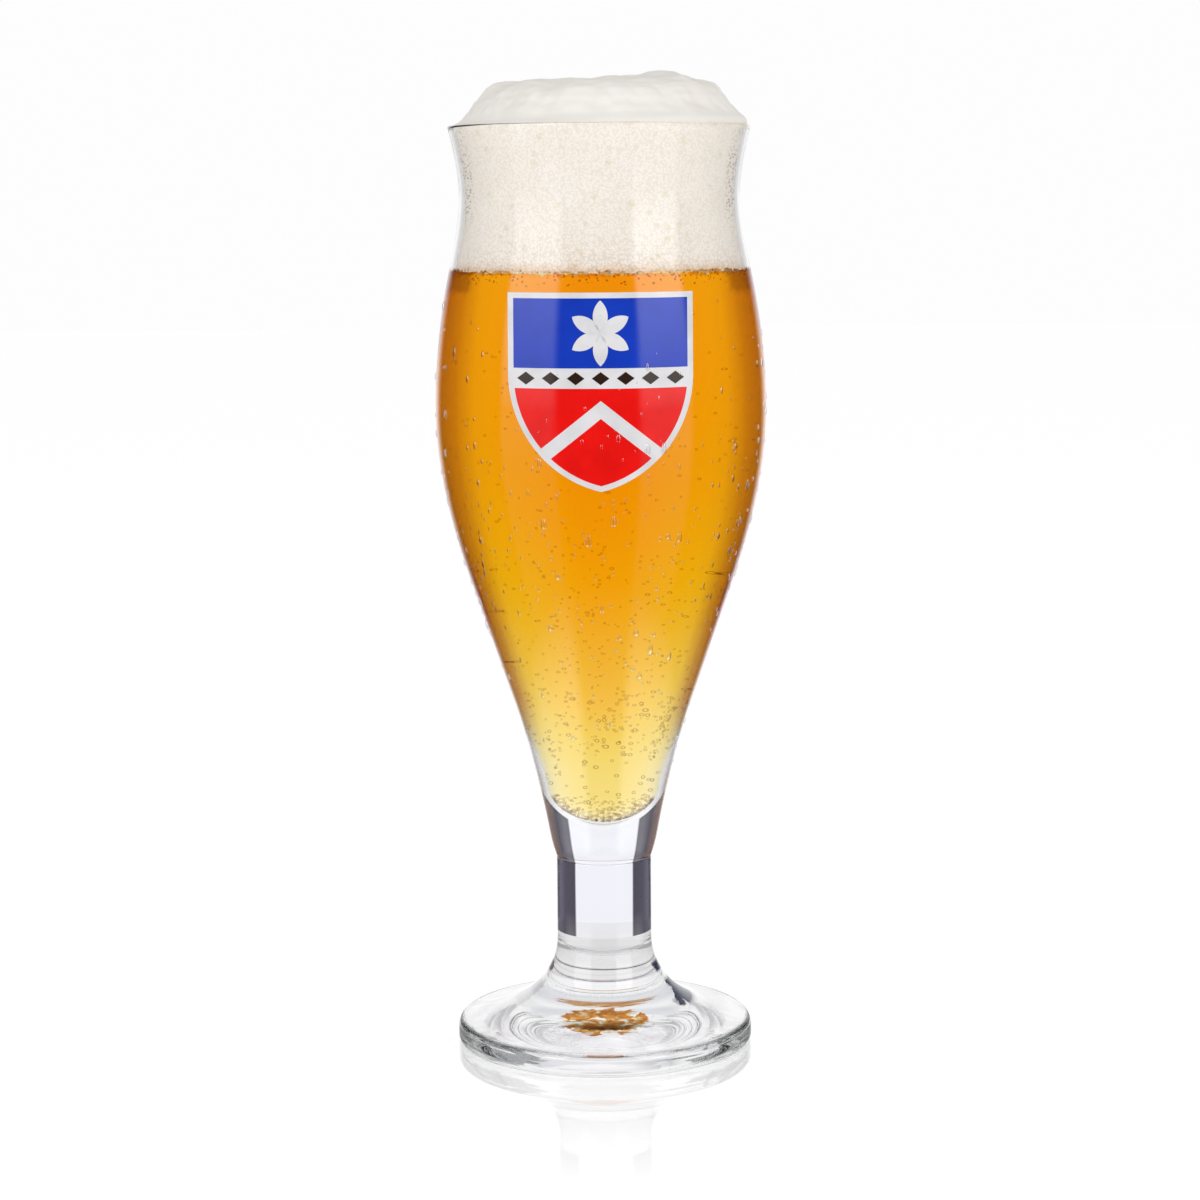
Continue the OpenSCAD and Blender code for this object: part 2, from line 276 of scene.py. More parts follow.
matt = add(tree, "BsdfDiffuse", {"Color": matt}).outputs[0]
glow = add(tree, "Emission", {"Strength": emitted}).outputs[0]
lit = add(tree, "AddShader", {0: matt, 1: glow}).outputs[0]
mirror = {"Color": (1, 1, 1, 1), "Roughness": FLOOR_ROUGHNESS}
mirror = add(tree, "BsdfGlossy", mirror).outputs[0]
fade = product(tree, remap(tree, reach, *MIRROR_FADE), remap(tree, ahead, *MIRROR_FRONT))
fade = product(tree, fade, ray["Is Camera Ray"])
polish = add(tree, "MixShader", {0: fade, 1: lit, 2: mirror}).outputs[0]
add(tree, "OutputMaterial", {"Surface": polish})
floor_mesh.materials.append(table)

# The foot is a pressed disc of clear glass, hollow underneath so that it stands on a ring.
# A flare rises from it in one sweep and ends in a short neck, which the stem is fused to.
# Its tints are painted light and shade that stand for what the thick glass bends in: a pale floor, dark
# sides, and the amber of the beer.
FOOT_R = 0.0392
FOOT_TOP_R = 0.002
FOOT_LOW_R = 0.0015
FOOT_EDGE_H = 0.0064
FOOT_H = 0.030
FLARE_NECK = 0.002
RING_W = 0.0036
HOLLOW_H = 0.0018
FOOT_FALL = 0.13
FLARE_DROP = 0.38
FLARE_REACH = 0.77
STEM_R = 0.0126
GLASS_COLUMNS = 256
CLEAR_GLASS_IOR = 1.52
# A noise is (scale, detail) and at times its distortion, and a stretch is (across, up).
SMEAR = (95.0, 4.0, 1.2)
TOP_SHADE_SMEARS = [(0.30, (0.70, 0.67, 0.69)), (0.48, (0.80, 0.78, 0.80)), (0.66, (0.96, 0.96, 0.98))]
FLARE_SHADE_BANDS = [
    (0.0, (0.92, 0.92, 0.94)), (0.42, (0.95, 0.95, 0.96)), (0.46, (0.60, 0.61, 0.66)),
    (0.52, (0.66, 0.66, 0.70)), (0.54, (0.95, 0.95, 0.96)), (0.62, (0.92, 0.92, 0.93)),
    (0.64, (0.50, 0.50, 0.53)), (0.66, (0.70, 0.69, 0.70)), (0.80, (0.71, 0.70, 0.71)),
    (0.99, (0.78, 0.78, 0.79)),
]
DARK_BELTS = [
    (0.0, 0.0), (0.33, 0.0), (0.36, 1.0), (0.54, 1.0), (0.57, 0.0),
    (0.62, 0.0), (0.64, 1.0), (0.71, 1.0), (0.74, 0.0),
]
DARK_LEFT = (0.03, 0.018, 0.012)
DARK_RIGHT = (0.003, 0.004, 0.011)
DARK_RAG = 0.9
DARK_FROM = 0.72
DARK_EDGE = 16.0
DARK_LEAD = 0.09
DARK_LOW_LEFT = 0.4
LOW_TO = 0.6 * FOOT_H
RIGHT_HALF = (-0.001, 0.001, 0.0, 1.0)
SEEN_LEVEL = (0.15, 0.40, 0.0, 1.0)
FLECK_STRETCH = (300.0, 1300.0)
FLECKS = (1.0, 5.0, 0.9)
PATCH_Z = (0.0078, 0.0137, -1.0, 1.0)
PATCH_W = 5.0
PATCH_RAG = 1.2
PATCH_TO = 0.9
PATCH_EDGE = 8.0
CORE_MIDDLE = 0.15
CORE_H = 3.0
CORE_W = 16.0
CORE_DEPTH = 0.30
AMBER = [
    (0.34, (0.20, 0.040, 0.004)), (0.44, (0.44, 0.065, 0.002)), (0.52, (0.46, 0.17, 0.02)),
    (0.57, (0.9, 0.60, 0.2)), (0.62, (1.0, 1.0, 1.0)),
]
STREAK_STRETCH = (55.0, 620.0)
STREAK_NOISE = (1.0, 1.5, 0.7)
STREAK_FROM = 0.50
STREAK_EDGE = 26.0
STREAKS = [(0.0, 0.0), (0.06, 0.15), (0.16, 0.9), (0.42, 0.9), (0.60, 0.4), (0.9, 0.2)]
STREAK_SHADE = (0.07, 0.08, 0.08)
RIM_SIDE_SHADE = [
    (0.0, (0.98, 0.98, 1.0)), (0.20, (0.92, 0.92, 0.93)), (0.40, (0.72, 0.73, 0.74)),
    (0.44, (0.34, 0.35, 0.35)), (0.85, (0.30, 0.31, 0.31)), (0.95, 0.8),
]
BRINK = [(0.0, 0.0), (0.86, 0.0), (0.90, 1.0), (0.945, 1.0), (0.98, 0.0)]
BRINK_PAINTED_LINE = [(0.0, (0.40, 0.11, 0.02)), (0.048, (0.40, 0.11, 0.02)), (0.058, (0.05, 0.055, 0.055))]
BRINK_MIDDLE = 0.35
BRINK_ROUND = 1.2
GOLD_TO = 0.051
GOLD_MORE = 0.6
UNDER_TINT = (0.97, 0.98, 0.98)
ON_FLARE = (0.0085, 0.0092, 0.0, 1.0)
ON_RIM = (FOOT_R - 0.0016, FOOT_R - 0.0006, 0.0, 1.0)
OVER_RING = (0.0012, 0.0022, 0.0, 1.0)
RIPPLES = (150.0, 1.5)
RIPPLE_DEPTH = 0.00002
RIPPLE_TOP = 0.2
RIPPLE_UNDER = 1.3


def cubic(t, a, u, b, v):
    """Cubic that leaves a with the run u and arrives at b with the run v, at the share t of its way."""
    return (
        a * (1 - 3 * t**2 + 2 * t**3) + u * (t - 2 * t**2 + t**3)
        + b * (3 * t**2 - 2 * t**3) + v * (t**3 - t**2)
    )


def sweep(a, u, b, v, count):
    """Points spread evenly on the cubic from a to b, without the last."""
    t = np.linspace(0, 1, count, endpoint=False)[:, None]
    return cubic(t, *(np.asarray(p, float) for p in (a, u, b, v)))


def arc(middle, radius, first, last, count):
    """Points on a circle's arc between two angles in degrees, both ends included."""
    turn = np.radians(np.linspace(first, last, count))
    return np.asarray(middle) + radius * np.stack([np.cos(turn), np.sin(turn)], axis=1)


def placed(radius, turn, z):
    """Points at a radius, a turn about the Z axis, and a height."""
    return np.stack([radius * np.cos(turn), radius * np.sin(turn), z + 0 * turn], axis=-1)


def revolve(profile, around):
    """Grid of points: every (radius, height) of the profile is carried once round the Z axis."""
    return placed(profile[:, :1], np.arange(around) * (2 * np.pi / around), profile[:, 1:])


def grid_faces(rows, columns, wrap):
    """Quads between neighbours in a grid, turned so that a rising, anticlockwise grid faces outwards."""
    i = np.arange(rows - 1)[:, None]
    j = np.arange(columns if wrap else columns - 1)[None, :]
    k = (j + 1) % columns
    return np.stack(
        [i * columns + j, i * columns + k, (i + 1) * columns + k, (i + 1) * columns + j], axis=-1
    ).reshape(-1, 4)


def make_piece(name, points, faces, material, stands_for=(), finish=None, sharp=40):
    """Mesh object from points and quads: doubles are merged, and edges past the sharp angle stay crisp."""
    mesh = bpy.data.meshes.new(name)
    mesh.from_pydata(np.asarray(points).reshape(-1, 3).tolist(), [], np.asarray(faces).tolist())
    work = bmesh.new()
    work.from_mesh(mesh)
    bmesh.ops.remove_doubles(work, verts=work.verts, dist=1e-7)
    bmesh.ops.dissolve_degenerate(work, edges=work.edges, dist=1e-8)
    work.to_mesh(mesh)
    work.free()
    mesh.polygons.foreach_set("use_smooth", np.ones(len(mesh.polygons), bool))
    mesh.set_sharp_from_angle(angle=math.radians(sharp))
    mesh.materials.append(material)
    piece = bpy.data.objects.new(name, mesh)
    scene.collection.objects.link(piece)
    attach(piece, "root")
    if stands_for:
        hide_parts(*stands_for)
    return piece


def make_turned(name, outline, material, stands_for, finish):
    """Piece whose surface is an outline of (radius, height) carried once round the axis of the glass."""
    faces = grid_faces(len(outline), GLASS_COLUMNS, True)
    return make_piece(name, revolve(outline, GLASS_COLUMNS), faces, material, stands_for, finish)


def noise(tree, spot, scale, detail, distortion=0.0):
    """Output of a Noise Texture."""
    inputs = {"Vector": spot, "Scale": scale, "Detail": detail, "Distortion": distortion}
    return add(tree, "TexNoise", inputs).outputs[0]


def stretched(tree, spot, across, up):
    """Place on the piece, multiplied by one number across and by another upwards."""
    return add(tree, "Mapping", {0: spot, 3: (across, across, up)}).outputs[0]


def above(tree, value, start, steepness):
    """Share that climbs from 0 to 1 past the start, or short of it where the steepness is negative."""
    return calc(tree, "MULTIPLY", calc(tree, "SUBTRACT", value, start), steepness, clamp=True)


def roughened(tree, value, uneven, amount):
    """Value that is moved up and down by a share of the amount: by how far a noise is from its middle."""
    return calc(tree, "MULTIPLY_ADD", calc(tree, "SUBTRACT", uneven, 0.5), amount, value)


def tinted(tree, share, first, second, way="MIX"):
    """Colour that goes from the first to the second with the share, or to their product by MULTIPLY."""
    first, second = ((*shade, 1) if isinstance(shade, tuple) else shade for shade in (first, second))
    made = add(tree, "Mix", {0: share, 6: first, 7: second}, data_type="RGBA", blend_type=way)
    return made.outputs[2]


def turned_away(tree, **normal):
    """Layer Weight: 0 where the surface, or the normal given, faces the eye, and 1 where it is edge on."""
    return add(tree, "LayerWeight", {"Blend": 0.5, **normal}).outputs["Facing"]


def bumped(tree, height, depth, strength=1.0, invert=False):
    """Normal output of a Bump node."""
    inputs = {"Strength": strength, "Distance": depth, "Height": height}
    return add(tree, "Bump", inputs, invert=invert).outputs[0]


def new_surface(name):
    """Material with its tree and its Principled shader."""
    made = bpy.data.materials.new(name)
    made.use_nodes = True
    return made, made.node_tree, made.node_tree.nodes["Principled BSDF"]


def new_glass(name, ior=CLEAR_GLASS_IOR):
    """Material with a clear glass shader, and its tree and shader."""
    made, tree, shader = new_surface(name)
    give(shader, {"Base Color": (1, 1, 1, 1), "Roughness": 0.0, "IOR": ior, "Transmission Weight": 1.0})
    return made, tree, shader


level_normal, _, level_out = new_group("level normal", {}, {"Normal": "Vector"})
flat = vector_math(level_normal, "MULTIPLY", here(level_normal), (1.0, 1.0, 0.0))[0]
give(level_out, {"Normal": vector_math(level_normal, "NORMALIZE", flat)[0]})


def sideways(tree):
    """Layer Weight taken level: 0 where the round wall faces the eye, and 1 at its outline."""
    return turned_away(tree, Normal=use(tree, level_normal)["Normal"])


weld, tree, shader = new_surface("fused joint")
give(shader, {"Alpha": 0.0})


def face_vectors(mesh, name):
    """The center or the normal of every face, as one array."""
    values = np.empty(len(mesh.polygons) * 3)
    mesh.polygons.foreach_get(name, values)
    return values.reshape(-1, 3)


def clear_welds(piece, *levels, material=weld):
    """Gives the flat faces at a fused joint the clear joint material, because no surface is left there."""
    mesh = piece.data
    mesh.materials.append(material)
    heights = face_vectors(mesh, "center")[:, 2]
    normals = face_vectors(mesh, "normal")[:, 2]
    flat = np.zeros(len(heights), bool)
    for level in levels:
        flat |= (np.abs(heights - level) < 1e-5) & (np.abs(normals) > 0.99)
    mesh.polygons.foreach_set("material_index", flat.astype(np.int32))


ring_in = FOOT_R - FOOT_LOW_R - RING_W
hollow_r = (ring_in**2 + HOLLOW_H**2) / (2 * HOLLOW_H)
hollow_turn = math.degrees(math.asin(ring_in / hollow_r))
edge_middle = np.array([FOOT_R - FOOT_TOP_R, FOOT_EDGE_H - FOOT_TOP_R])
edge_turn = 90 - math.degrees(math.atan(FOOT_FALL))
edge_out = np.array([math.cos(math.radians(edge_turn)), math.sin(math.radians(edge_turn))])
flare_foot = edge_middle + FOOT_TOP_R * edge_out
flare_head = np.array([STEM_R, FOOT_H - FLARE_NECK])
flare = sweep(
    flare_foot, 3 * FLARE_REACH * (flare_foot[0] - flare_head[0]) * np.array([-1, FOOT_FALL]),
    flare_head, [0, 3 * FLARE_DROP * (flare_head[1] - flare_foot[1])], 60,
)
foot_outline = np.concatenate([
    arc((0, HOLLOW_H - hollow_r), hollow_r, 90, 90 - hollow_turn, 24),
    arc((FOOT_R - FOOT_LOW_R, FOOT_LOW_R), FOOT_LOW_R, -90, 0, 12),
    arc(edge_middle, FOOT_TOP_R, 0, edge_turn, 16)[:-1],
    flare,
    [flare_head, (STEM_R, FOOT_H), (0, FOOT_H)],
])

foot_glass, tree, shader = new_glass("pressed glass")
spot = here(tree)
height = along(tree, spot, "Z")
reach = vector_math(tree, "LENGTH", vector_math(tree, "MULTIPLY", spot, (1.0, 1.0, 0.0))[0])["Value"]
facing = sideways(tree)
smear = noise(tree, spot, *SMEAR)
to_right = remap(tree, along(tree, spot, "X"), *RIGHT_HALF)
up_the_foot = product(tree, height, 1 / FOOT_H)
# Painted shade: dark wedges lie on the flare's two sides, the right ones wider, and fade where the foot is
# seen from above.
dark = roughened(tree, facing, smear, DARK_RAG)
dark = above(tree, calc(tree, "MULTIPLY_ADD", to_right, DARK_LEAD, dark), DARK_FROM, DARK_EDGE)
seen_level = remap(tree, turned_away(tree, Normal=(0, 0, 1)), *SEEN_LEVEL)
dark = product(tree, dark, ramp(tree, up_the_foot, DARK_BELTS), seen_level)
low_left = calc(tree, "LESS_THAN", height, LOW_TO)
low_left = product(tree, low_left, calc(tree, "SUBTRACT", 1.0, to_right))
dark = product(tree, dark, calc(tree, "MULTIPLY_ADD", low_left, DARK_LOW_LEFT - 1, 1.0))
dark_tint = tinted(tree, to_right, DARK_LEFT, DARK_RIGHT)
# The flare's grey bands, at set heights, are painted shade as well.
rings = tinted(tree, dark, ramp(tree, up_the_foot, FLARE_SHADE_BANDS), dark_tint)
# The amber patch is painted light: the beer, seen bent through the flare, as a ragged oval on the front of
# the flare's root, with a deeper core.
flecks = noise(tree, stretched(tree, spot, *FLECK_STRETCH), *FLECKS)
middle = remap(tree, height, *PATCH_Z, clamp=False)
core = product(tree, calc(tree, "ABSOLUTE", calc(tree, "SUBTRACT", middle, CORE_MIDDLE)), CORE_H)
core = calc(tree, "SUBTRACT", 1.0, calc(tree, "MULTIPLY_ADD", facing, CORE_W, core), clamp=True)
amber = ramp(tree, calc(tree, "MULTIPLY_ADD", core, CORE_DEPTH, flecks), AMBER)
patch = calc(tree, "MULTIPLY_ADD", middle, middle, product(tree, facing, PATCH_W))
patch = above(tree, roughened(tree, patch, flecks, PATCH_RAG), PATCH_TO, -PATCH_EDGE)
# The rim is tinted in painted shade: pale in front and dark at its sides, with long dark streaks beside its
# middle, and a thin painted line, amber in front and dark beside it, along its upper edge.
streaks = noise(tree, stretched(tree, spot, *STREAK_STRETCH), *STREAK_NOISE)
streaks = above(tree, streaks, STREAK_FROM, STREAK_EDGE)
streaks = product(tree, streaks, ramp(tree, facing, STREAKS))
rim = tinted(tree, streaks, ramp(tree, facing, RIM_SIDE_SHADE), STREAK_SHADE)
gold = product(tree, calc(tree, "LESS_THAN", facing, GOLD_TO), GOLD_MORE)
strong = calc(tree, "ADD", gold, calc(tree, "MULTIPLY_ADD", facing, BRINK_ROUND, BRINK_MIDDLE))
brink = ramp(tree, product(tree, height, 1 / FOOT_EDGE_H), BRINK)
brink = calc(tree, "MULTIPLY", brink, strong, clamp=True)
rim = tinted(tree, brink, rim, ramp(tree, facing, BRINK_PAINTED_LINE))
# The top of the foot has grey smears of painted shade.
shade = tinted(tree, remap(tree, height, *ON_FLARE), ramp(tree, smear, TOP_SHADE_SMEARS), rings)
shade = tinted(tree, patch, shade, amber, "MULTIPLY")
shade = tinted(tree, remap(tree, reach, *ON_RIM), shade, rim)
over_ring = remap(tree, height, *OVER_RING)
shade = tinted(tree, over_ring, UNDER_TINT, shade)
under = calc(tree, "SUBTRACT", 1.0, over_ring)
ripple = calc(tree, "MULTIPLY_ADD", under, RIPPLE_UNDER, RIPPLE_TOP)
ripple = product(tree, ripple, noise(tree, spot, *RIPPLES))
give(shader, {"Base Color": shade, "Normal": bumped(tree, ripple, RIPPLE_DEPTH)})

# From below, the joint with the stem shows as a pale disc: a painted pale sheet inside the glass, seen only
# from inside the foot, that stands in for the light seen through the joint.
GLEAM = (0.85, 0.85, 0.86, 1)
gleam, tree, shader = new_surface("painted pale disc under the joint")
below = add(tree, "NewGeometry").outputs["Backfacing"]
give(shader, {"Base Color": GLEAM, "Roughness": 1.0, "Specular IOR Level": 0.0, "Alpha": below})
foot = make_turned("foot_glass", foot_outline, foot_glass, ["foot"], "clear_glass")
clear_welds(foot, FOOT_H, material=gleam)

# The stem is a plain rod of clear glass, fused to the flare below it and to the bowl above it.
# Its upper edge is round, so that a fine groove shows where it meets the bowl.
STEM_TOP = 0.0498
SEAM_R = 0.0004
WAVE_DEPTH = 0.00001
STEM_WAVE = 0.012
# The stem's tint is painted shade: clear in the middle and dark at its sides, where the rod bends in the dark
# room.
STEM_SIDE_SHADE = [
    (0.0, (0.93, 0.94, 1.0)), (0.215, (0.90, 0.91, 0.98)), (0.235, (0.0085, 0.0070, 0.0118)),
    (0.45, (0.012, 0.010, 0.017)), (0.60, (0.028, 0.026, 0.040)), (0.80, (0.045, 0.043, 0.062)),
    (0.94, (0.12, 0.12, 0.14)),
]
INNER_TINT = (0.9, 0.9, 0.95)

waves, waves_in, waves_out = new_group(
    "hand finish", {"Scale": "Float", "Depth": "Float"}, {"Normal": "Vector"},
)
swelling = noise(waves, here(waves), waves_in["Scale"], 1.0)
give(waves_out, {"Normal": bumped(waves, swelling, waves_in["Depth"])})


def give_waves(tree, shader, size):
    """Gives a shader the soft unevenness of a hand-finished surface, with waves of about one size."""
    give(shader, {"Normal": use(tree, waves, {"Scale": 1 / size, "Depth": WAVE_DEPTH})["Normal"]})


def pale_inside(tree, shade):
    """The painted shade, but pale to a ray mirrored inside the glass, so that painted dark bands aren't seen
    twice.
    """
    ray = add(tree, "LightPath").outputs
    inner = calc(tree, "MULTIPLY", ray["Glossy Depth"], ray["Transmission Depth"], clamp=True)
    return tinted(tree, inner, shade, INNER_TINT)


stem_outline = np.concatenate([
    [(0, FOOT_H), (STEM_R, FOOT_H)],
    arc((STEM_R - SEAM_R, STEM_TOP - SEAM_R), SEAM_R, 0, 90, 8),
    [(0, STEM_TOP)],
])
stem_glass, tree, shader = new_glass("drawn glass")
give_waves(tree, shader, STEM_WAVE)
give(shader, {"Base Color": pale_inside(tree, ramp(tree, sideways(tree), STEM_SIDE_SHADE))})
stem = make_turned("stem_rod", stem_outline, stem_glass, ["stem"], "clear_glass")
clear_welds(stem, FOOT_H, STEM_TOP)

# The bowl is blown from clear glass: a thick bottom, a rounded inside, a cone that swells to a belly, a waist
# and a lip that opens out and is melted round. It is fused to the stem.
# Its tints are painted light and shade that stand for what the wall bends in beside its outline, over the
# solid block, the beer and the foam.
BOWL_Z = np.array([0.0498, 0.060, 0.092, 0.124, 0.169, 0.206, 0.224, 0.242])
BOWL_R = np.array([0.0125, 0.01505, 0.02345, 0.0344, 0.0431, 0.03895, 0.0363, 0.0392])
CONE_LEAN = (BOWL_R[3] - BOWL_R[2]) / (BOWL_Z[3] - BOWL_Z[2])
BOWL_LEAN = np.array([0.42, 0.20, CONE_LEAN, CONE_LEAN, 0, -0.215, 0, 0.25])
WALL = 0.0015
LIP_WALL = 0.0012
WELL_R = 0.011
WELL_Z = 0.0706
WELL_TURN = 84
THICK_TOP = 0.11792
LIP_Z = 0.242
LIP_LOW = LIP_Z - LIP_WALL / 2
BEER_Z = 0.2054
BEER_IOR = 1.34
BOWL_WAVE = 0.02
INSIDE_ROWS = 110
OUTSIDE_ROWS = 150
BLOCK_TOP = 0.0620
BLOCK_BANDS = 0.22
BLOCK_SLANT = 0.011
BLOCK_SIDE_SHADE = [
    (0.0, (0.93, 0.94, 1.0)), (0.215, (0.90, 0.91, 0.98)), (0.235, (0.0160, 0.0140, 0.0220)),
    (0.45, (0.0190, 0.0170, 0.0250)), (0.60, (0.075, 0.048, 0.040)), (0.75, (0.18, 0.11, 0.08)),
    (0.90, (0.4, 0.36, 0.34)),
]
BEER_SIDE_SHADE = [
    (0.0, (1.0, 0.90, 1.0)), (0.013, (1.0, 0.90, 1.0)), (0.04, (1.0, 0.98, 1.0)), (0.27, 0.95),
    (0.36, (0.88, 0.84, 0.9)), (0.42, (0.70, 0.58, 0.7)), (0.53, (0.46, 0.27, 0.4)),
    (0.62, (0.39, 0.20, 0.3)), (0.72, (0.36, 0.19, 0.3)), (0.78, (0.48, 0.32, 0.45)),
    (0.88, (0.75, 0.65, 0.7)),
]
GOLD_SPAN = 0.25
GOLD_TINT = [
    (0.445, 1.0), (0.51, (1.0, 0.96, 0.30)), (0.60, (1.0, 0.90, 0.30)), (0.80, (1.0, 0.84, 0.30)),
]
THICK_WALL = (0.081, 0.094, 1.0, 0.0)
THICK_SIDE_SHADE = [
    (0.0, 1.0), (0.37, (0.95, 0.95, 0.96)), (0.53, (0.72, 0.72, 0.75)), (0.69, (0.46, 0.44, 0.44)),
    (0.85, 0.5),
]
FOAM_SIDE_SHADE = [
    (0.0, 1.0), (0.25, 0.93), (0.46, (0.80, 0.80, 0.79)), (0.61, (0.78, 0.77, 0.75)),
    (0.76, (0.80, 0.79, 0.79)), (0.83, (0.95, 0.95, 0.98)), (1.0, 1.0),
]
HOLE_STRETCH = (620.0, 1500.0)
HOLE_R = 0.40
HOLES_BESIDE = [(0.0, 0.0), (0.52, 0.0), (0.60, 1.0), (0.70, 1.0), (0.76, 0.0)]
HOLES_UP = [(0.0, 0.0), (0.25, 0.1), (0.45, 1.0), (0.75, 1.0), (0.85, 0.5), (1.0, 0.5)]
HOLE_TINT = (0.30, 0.28, 0.26)
FOAM_FROM = BEER_Z - 0.0001
SOFT_EDGE = 0.0004
RAGGED_BEER = {"Scale": 620.0, "Detail": 3.0, "Spread": 0.0032}
BRIM_Z = (BEER_Z - 0.0013, BEER_Z - 0.0004, 0.0, 1.0)
BRIM_ROUND = [(0.0, 0.8), (0.04, 0.8), (0.06, 0.3), (0.17, 0.3), (0.21, 1.0)]
BRIM_TINT = (0.50, 0.27, 0.16)
SHADOW_Z = (BEER_Z - 0.0062, BEER_Z - 0.0048, 0.0, 1.0)
SHADOW_FROM = 0.44
SHADOW_EDGE = 0.05
SHADOW_TINT = (0.48, 0.44, 0.44)
FROTH_SCALE = 1100.0
FROTH_R = 0.36
FROTH_Z = (BEER_Z - 0.0042, BEER_Z - 0.0004, 1.0, 0.25)
FROTH_TINT = (0.34, 0.20, 0.2)
INTO_WALL = 0.3 * LIP_WALL
UNDER_WELL = 0.001
# Places in the bowl's list of materials, after the outside and the fused joint.
DRY_FACES = 2
WET_FACES = 3


def bowl_radius(z):
    """Outside radius at a height: cubics between the stations, each with its own lean."""
    z = np.asarray(z, float)
    i = np.clip(np.searchsorted(BOWL_Z, z, side="right") - 1, 0, len(BOWL_Z) - 2)
    span = BOWL_Z[i + 1] - BOWL_Z[i]
    t = (z - BOWL_Z[i]) / span
    return cubic(t, BOWL_R[i], BOWL_LEAN[i] * span, BOWL_R[i + 1], BOWL_LEAN[i + 1] * span)


def bowl_inside():
    """Outline of the inside from the middle of the bottom up to the lip: a round, a sweep, then the wall."""
    well = arc((0, WELL_Z), WELL_R, -90, WELL_TURN - 90, 28)
    top = np.array([float(bowl_radius(THICK_TOP)) - WALL, THICK_TOP])
    rise = top[1] - well[-1][1]
    leave = [rise / math.tan(math.radians(WELL_TURN)), rise]
    run = sweep(well[-1], leave, top, [rise * CONE_LEAN, rise], 50)
    z = np.linspace(THICK_TOP, LIP_LOW, INSIDE_ROWS)
    thick = np.interp(z, [BOWL_Z[6], LIP_LOW], [WALL, LIP_WALL])
    return np.concatenate([well[:-1], run, np.stack([bowl_radius(z) - thick, z], axis=1)])


def inside_radius(z):
    """Inside radius of the bowl at a height."""
    return np.interp(z, inside[:, 1], inside[:, 0])


def foamy(tree, spot, scale, randomness=1.0):
    """Outputs of a Voronoi Texture: the cells of a foam."""
    inputs = {"Vector": spot, "Scale": scale, "Randomness": randomness}
    return add(tree, "TexVoronoi", inputs).outputs


inside = bowl_inside()
base_r = float(bowl_radius(STEM_TOP + SEAM_R))
outer_z = np.linspace(STEM_TOP + SEAM_R, LIP_LOW, OUTSIDE_ROWS)
lip_middle = (float(bowl_radius(LIP_LOW)) - LIP_WALL / 2, LIP_LOW)
bowl_outline = np.concatenate([
    [(0, STEM_TOP)],
    arc((base_r - SEAM_R, STEM_TOP + SEAM_R), SEAM_R, -90, -8, 8),
    np.stack([bowl_radius(outer_z), outer_z], axis=1),
    arc(lip_middle, LIP_WALL / 2, 12, 168, 12),
    inside[::-1],
])

ragged, ragged_in, ragged_out = new_group(
    "ragged height", {"Scale": "Float", "Detail": "Float", "Spread": "Float"}, {"Height": "Float"},
)
spot = here(ragged)
uneven = noise(ragged, spot, ragged_in["Scale"], ragged_in["Detail"])
uneven = roughened(ragged, along(ragged, spot, "Z"), uneven, ragged_in["Spread"])
give(ragged_out, {"Height": uneven})

dry_glass, tree, shader = new_glass("blown glass inside")
give_waves(tree, shader, BOWL_WAVE)
wet_glass, tree, shader = new_glass("blown glass under beer", CLEAR_GLASS_IOR / BEER_IOR)
give_waves(tree, shader, BOWL_WAVE)
give(shader, {"Specular Tint": (0, 0, 0, 1)})
bowl_glass, tree, shader = new_glass("blown glass")
give_waves(tree, shader, BOWL_WAVE)
facing = sideways(tree)
spot = here(tree)
height = along(tree, spot, "Z")
uneven = use(tree, ragged, RAGGED_BEER)["Height"]
# Over the beer: gold above, painted shade towards the sides with a paler painted strip at the outline, more
# painted shade at the sides where the wall is thick, a dark brim and froth under the foam, and a painted
# shadow at both sides below it.
gold = ramp(tree, product(tree, height, 1 / GOLD_SPAN), GOLD_TINT)
full = tinted(tree, 1.0, ramp(tree, facing, BEER_SIDE_SHADE), gold, "MULTIPLY")
brim = product(tree, remap(tree, uneven, *BRIM_Z), ramp(tree, facing, BRIM_ROUND))
full = tinted(tree, brim, full, BRIM_TINT, "MULTIPLY")
full = tinted(tree, remap(tree, height, *THICK_WALL), full, ramp(tree, facing, THICK_SIDE_SHADE))
shadow = above(tree, facing, SHADOW_FROM, 1 / SHADOW_EDGE)
shadow = product(tree, shadow, remap(tree, uneven, *SHADOW_Z))
full = tinted(tree, shadow, full, SHADOW_TINT, "MULTIPLY")
froth = foamy(tree, spot, FROTH_SCALE)
picked = calc(tree, "GREATER_THAN", froth["Color"], remap(tree, height, *FROTH_Z))
froth = product(tree, calc(tree, "LESS_THAN", froth["Distance"], FROTH_R), picked)
full = tinted(tree, froth, full, FROTH_TINT, "MULTIPLY")
# Over the foam: pale, with painted shade towards the sides and a pale painted strip at the outline, and the
# open holes of burst bubbles beside the outline.
holes = foamy(tree, stretched(tree, spot, *HOLE_STRETCH), 1.0)
holes = calc(tree, "LESS_THAN", holes["Distance"], HOLE_R)
up_the_foam = product(tree, calc(tree, "SUBTRACT", height, BEER_Z), 1 / (LIP_Z - BEER_Z))
holes = product(tree, holes, ramp(tree, facing, HOLES_BESIDE), ramp(tree, up_the_foam, HOLES_UP))
frothy = tinted(tree, holes, ramp(tree, facing, FOAM_SIDE_SHADE), HOLE_TINT)
